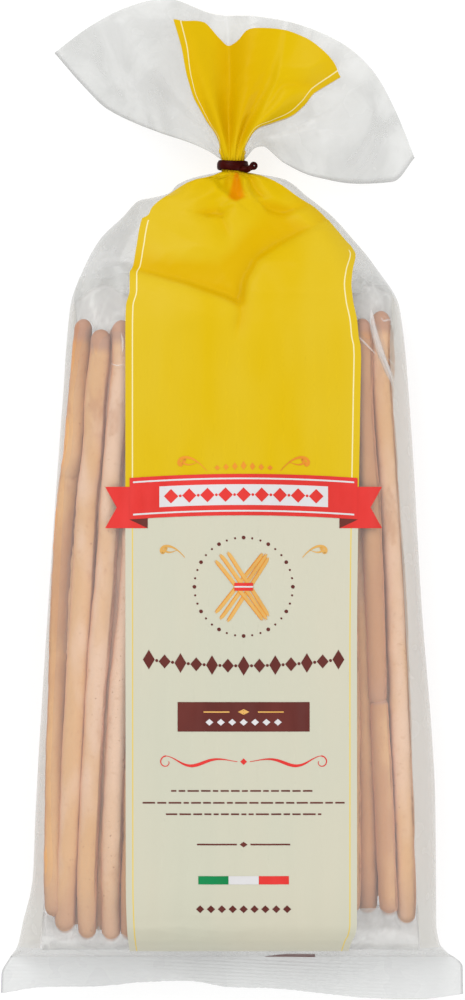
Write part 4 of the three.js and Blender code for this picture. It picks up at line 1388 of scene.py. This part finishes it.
# The print from the ribbon down: lozenges and scrolls round the ribbon, crossed sticks, a bowed row of
# lozenges, a plate, the flourish, three rows of dashes, a divided line, three bars, a row of lozenges, and
# a small bar at the seal.
ARCH_Y, ARCH_BOW, ARCH_STEP = -64.0, 2.4, 6.1
ribbon_top = ribbon()
for k in range(-3, 4):
    orange.lozenge(k * 3.4, ribbon_top + 3.2 - 0.28 * abs(k), 2.2, 3.6 - 0.5 * abs(k))
for side in (-1, 1):
    scroll(orange, side * 14.0, ribbon_top + 0.8, side, 13)
    scroll(gold, side * 22.5, -22.5, side, 11)
crossed_sticks(-33.5)
for k in range(-6, 7):
    brown.lozenge(k * ARCH_STEP, ARCH_Y + ARCH_BOW * (k / 6) ** 2, 4.6, 7.6 if k % 2 == 0 else 5.4)
    if k < 6:
        brown.disc((k + 0.5) * ARCH_STEP, ARCH_Y + ARCH_BOW * ((k + 0.5) / 6) ** 2, 0.6, steps=12)
brown.bar(-25.5, 25.5, -89.4, -78.0)
for side in (-1, 1):
    gold.bar(side * 5.5, side * 15.5, -82.1, -81.6, 1)
gold.lozenge(0, -81.8, 4.4, 2.2, 1)
for k in range(-3, 4):
    white.lozenge(k * 4.4, -85.8, 3.0, 2.6, 1)
flourish(-101.0, 30, 2.2)
dashes(brown, -112.3, 28, 0.62, 3)
dashes(brown, -116.9, 39, 0.62, 4)
dashes(brown, -121.3, 30, 0.62, 5)
for side in (-1, 1):
    brown.bar(side * 2.6, side * 18, -133.3, -132.7)
brown.lozenge(0, -133.0, 3.0, 2.2)
for ink, place in ((green, -1), (white, 0), (red, 1)):
    ink.bar(place * 11.7 - 5.8, place * 11.7 + 5.8, -148.4, -145.2)
for k in range(-4, 5):
    brown.lozenge(k * 4.2, -158.0, 3.2, 3.0)
brown.patch([(8, -178.3), (28, -178.5), (28, -176.9), (17, -176.7)])


def print_tree():
    """Drops each flat shape onto the film below it and holds it a hair's breadth off, by its layer."""
    tree = Tree("print_on_film", Film="Object", Lift="Float", Layer_Lift="Float", Material="Material")
    target = tree.node("GeometryNodeObjectInfo", tree.given["Film"]).outputs["Geometry"]
    place = tree.add("GeometryNodeInputPosition")
    cast = tree.node("GeometryNodeRaycast", target, Source_Position=place, Ray_Direction=(0, 0, -1),
                     Ray_Length=0.1).outputs
    height = tree.math("ADD", tree.given["Lift"],
                       tree.math("MULTIPLY", tree.attribute("layer"), tree.given["Layer Lift"]))
    off = tree.add("ShaderNodeVectorMath", cast["Hit Normal"], Scale=height, settings={"operation": "SCALE"})
    there = tree.add("ShaderNodeVectorMath", cast["Hit Position"], off, settings={"operation": "ADD"})
    laid = tree.add("GeometryNodeSetPosition", tree.given["Geometry"], cast["Is Hit"], there)
    tree.finish(tree.add("GeometryNodeSetShadeSmooth", laid), tree.given["Material"])
    return tree


laid_on_film = print_tree()
for ink in (red, white, brown, gold, orange, green):
    start = mesh_of(ink.name, ink.points, ink.faces, attributes={"layer": ink.layers})
    finish = Finish(ink.name + "_ink", Specular_IOR_Level=0.25)
    streaks = finish.band(finish.noise(60, 3, 0.6, (1, 0.4, 1)), 0.35, 0.7)
    finish.colour(finish.blend(streaks, ink.colour, ink.shade))
    finish.roughness(finish.band(finish.noise(70, 2), 0.3, 0.7, 0.3, 0.44))
    finish.bump(finish.noise(60, 3, 0.6, (1, 0.4, 1), 0.5), 0.15, 0.5 * MM)
    printed = grown(ink.name, start, laid_on_film, Film=film, Lift=PRINT_LIFT * MM,
                    Layer_Lift=LAYER_LIFT * MM, Material=finish.material)
    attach(printed, "root")
    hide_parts("bag")

# ---------------------------------------------------------------- twist tie
# A flat ribbon of brown plastic with a wire in it, wound twice round the neck. Its two ends are twisted
# together into a short stub to the right, and the tip of the stub is rolled up.

TIE_Y = 130.4
TIE_CLEAR = 0.35
TIE_DARK, TIE_LIGHT = (0.024, 0.001, 0.0005, 1), (0.045, 0.002, 0.001, 1)
RIBBON_WIDE, RIBBON_THICK = 3.0, 0.9
STRAND_RADIUS, TWIST_REACH, TWIST_PITCH = 0.85, 0.6, 5.0
# The stub's middle line, as (x, y, z).
STUB = [(3.6, 129.0, 24.6), (5.4, 128.6, 25.4), (7.0, 129.2, 25.4), (8.4, 130.1, 25.0)]


def swept(paths, half_wide, half_thick, sides=14):
    """Flat oval tubes. Each path is its points, the way its flat side faces and whether it closes."""
    points, faces = [], []
    for path, facing, closed in paths:
        path, facing = np.array(path), np.array(facing)
        count = len(path)
        if closed:
            way = np.roll(path, -1, axis=0) - np.roll(path, 1, axis=0)
        else:
            way = np.gradient(path, axis=0)
        way /= np.linalg.norm(way, axis=1)[:, None]
        beside = np.cross(way, facing)
        beside /= np.linalg.norm(beside, axis=1)[:, None]
        out = np.cross(beside, way)
        start = len(points)
        for k in range(count):
            for j in range(sides):
                angle = 2 * math.pi * j / sides
                flat = abs(math.cos(angle)) ** 0.6 * math.copysign(half_wide, math.cos(angle))
                points.append(path[k] + beside[k] * flat + out[k] * half_thick * math.sin(angle))
        for k in range(count if closed else count - 1):
            for j in range(sides):
                a, b = start + k * sides + j, start + k * sides + (j + 1) % sides
                shift = start + (k + 1) % count * sides - (start + k * sides)
                faces.append((a, a + shift, b + shift, b))
        if not closed:
            faces.append([start + j for j in range(sides)])
            faces.append([start + (count - 1) * sides + j for j in range(sides)][::-1])
    return points, faces


def neck_loop(y, slope, grow):
    """A loop round the neck that lies a little lower on its right."""
    angle = np.linspace(0, 2 * math.pi, 60, endpoint=False)
    reach_x = NECK_RADIUS_X + TIE_CLEAR + RIBBON_THICK / 2 + grow
    reach_z = NECK_RADIUS_Z + TIE_CLEAR + RIBBON_THICK / 2 + grow
    x, z = NECK_X + reach_x * np.cos(angle), NECK_Z + reach_z * np.sin(angle)
    path = np.column_stack([x, y - slope * (x - NECK_X) + 0.1 * np.sin(3 * angle), z])
    facing = np.column_stack([np.cos(angle), 0 * angle, np.sin(angle)])
    return path, facing, True


def stub_strands():
    """Two strands that wind round each other along the stub."""
    knots = np.array(STUB)
    t = np.linspace(0, 1, 54)
    at = np.linspace(0, 1, len(STUB))
    line = np.column_stack([through(list(zip(at, knots[:, i])), t) for i in range(3)])
    length = np.concatenate([[0], np.cumsum(np.linalg.norm(np.diff(line, axis=0), axis=1))])
    way = np.gradient(line, axis=0)
    way /= np.linalg.norm(way, axis=1)[:, None]
    up = np.cross(np.cross(way, (0, 0, 1)), way)
    beside = np.cross(way, up)
    for phase in (0, math.pi):
        angle = 2 * math.pi * length / TWIST_PITCH + phase
        ring = up * np.sin(angle)[:, None] + beside * np.cos(angle)[:, None]
        yield line + TWIST_REACH * ring, ring, False


def rolled_tip():
    """The strands' tip rolled into a small eye that faces up."""
    angle = np.linspace(-0.6 * math.pi, 1.1 * math.pi, 34)
    radius = 1.0 - 0.1 * angle / math.pi
    centre = np.array(STUB[-1])
    path = centre + np.column_stack([radius * np.cos(angle), radius * np.sin(angle), 0.25 * angle / math.pi])
    facing = np.column_stack([np.cos(angle), np.sin(angle), 0 * angle])
    return path, facing, False


loops = [neck_loop(TIE_Y + 0.35, 0.03, 0.0), neck_loop(TIE_Y - 0.55, 0.08, 0.32)]
loop_points, loop_faces = swept(loops, RIBBON_WIDE / 2, RIBBON_THICK / 2)
stub_points, stub_faces = swept([*stub_strands(), rolled_tip()], STRAND_RADIUS, STRAND_RADIUS * 0.75)
stub_faces = [[len(loop_points) + k for k in face] for face in stub_faces]
tie_mesh = mesh_of("twist_tie", loop_points + stub_points, loop_faces + stub_faces)
tie_mesh.polygons.foreach_set("use_smooth", [True] * len(tie_mesh.polygons))
finish = Finish("tie_plastic", Specular_IOR_Level=0.05)
grain = finish.noise(500, 3, 0.6, (0.3, 1, 1))
finish.colour(finish.blend(finish.band(grain, 0.35, 0.7), TIE_DARK, TIE_LIGHT))
finish.roughness(finish.band(grain, 0.3, 0.7, 0.26, 0.42))
finish.bump(grain, 0.3, 0.2 * MM)
tie_mesh.materials.append(finish.material)
twist_tie = add_object("twist_tie", tie_mesh)
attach(twist_tie, "root")
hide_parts("tie")

# ---------------------------------------------------------------- the stage
# A pale floor that glows a little, like a light table, a camera straight above, and soft light from panels.

CAMERA_X, CAMERA_ABOVE = 0.0002, 2.4
VIEW_HEIGHT = 0.390
SENSOR_HEIGHT = 24.0
FLOOR_SIZE, FLOOR_GLOW = 3.0, 0.76
ROOM_LIGHT = 0.63


def stage_floor():
    corners = [(x * FLOOR_SIZE, y * FLOOR_SIZE, 0) for x, y in ((-1, -1), (1, -1), (1, 1), (-1, 1))]
    mesh = bpy.data.meshes.new("floor")
    mesh.from_pydata(corners, [], [(0, 1, 2, 3)])
    finish = Finish("pale_floor", Roughness=0.9, Specular_IOR_Level=0.0, Emission_Color=(1, 1, 1, 1),
                    Emission_Strength=FLOOR_GLOW)
    finish.colour(finish.blend(finish.noise(3.0, 2), (0.27, 0.27, 0.27, 1), (0.29, 0.29, 0.29, 1)))
    mesh.materials.append(finish.material)
    add_object("floor", mesh)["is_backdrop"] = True


def soft_light(name, place, size, power):
    """A square panel of light that faces the bag."""
    lamp = bpy.data.lights.new(name, "AREA")
    lamp.size, lamp.energy = size, power
    thing = bpy.data.objects.new(name, lamp)
    thing.location = place
    direction = -thing.location.normalized()
    thing.rotation_euler = direction.to_track_quat("-Z", "Y").to_euler()
    bpy.context.scene.collection.objects.link(thing)


stage_floor()
soft_light("key_light", (-0.7, 1.0, 1.5), 1.2, 20)
soft_light("fill_light", (1.2, -0.7, 1.4), 1.2, 13)
world = bpy.data.worlds.new("soft_room")
world.use_nodes = True
world.node_tree.nodes["Background"].inputs["Color"].default_value = (1, 1, 1, 1)
world.node_tree.nodes["Background"].inputs["Strength"].default_value = ROOM_LIGHT
bpy.context.scene.world = world
bpy.context.scene.view_settings.view_transform = "Standard"

eye = bpy.data.cameras.new("camera")
eye.sensor_fit = "VERTICAL"
eye.sensor_height = SENSOR_HEIGHT
eye.lens = SENSOR_HEIGHT * CAMERA_ABOVE / VIEW_HEIGHT
eye.clip_end = 20
camera = bpy.data.objects.new("camera", eye)
camera.location = (CAMERA_X, 0, CAMERA_ABOVE + NECK_Z * MM)
bpy.context.scene.collection.objects.link(camera)
bpy.context.scene.camera = camera

boxes = {"cad": cad_box, "visual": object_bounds()}
{name: [[float(v) for v in corner] for corner in box] for name, box in boxes.items()}
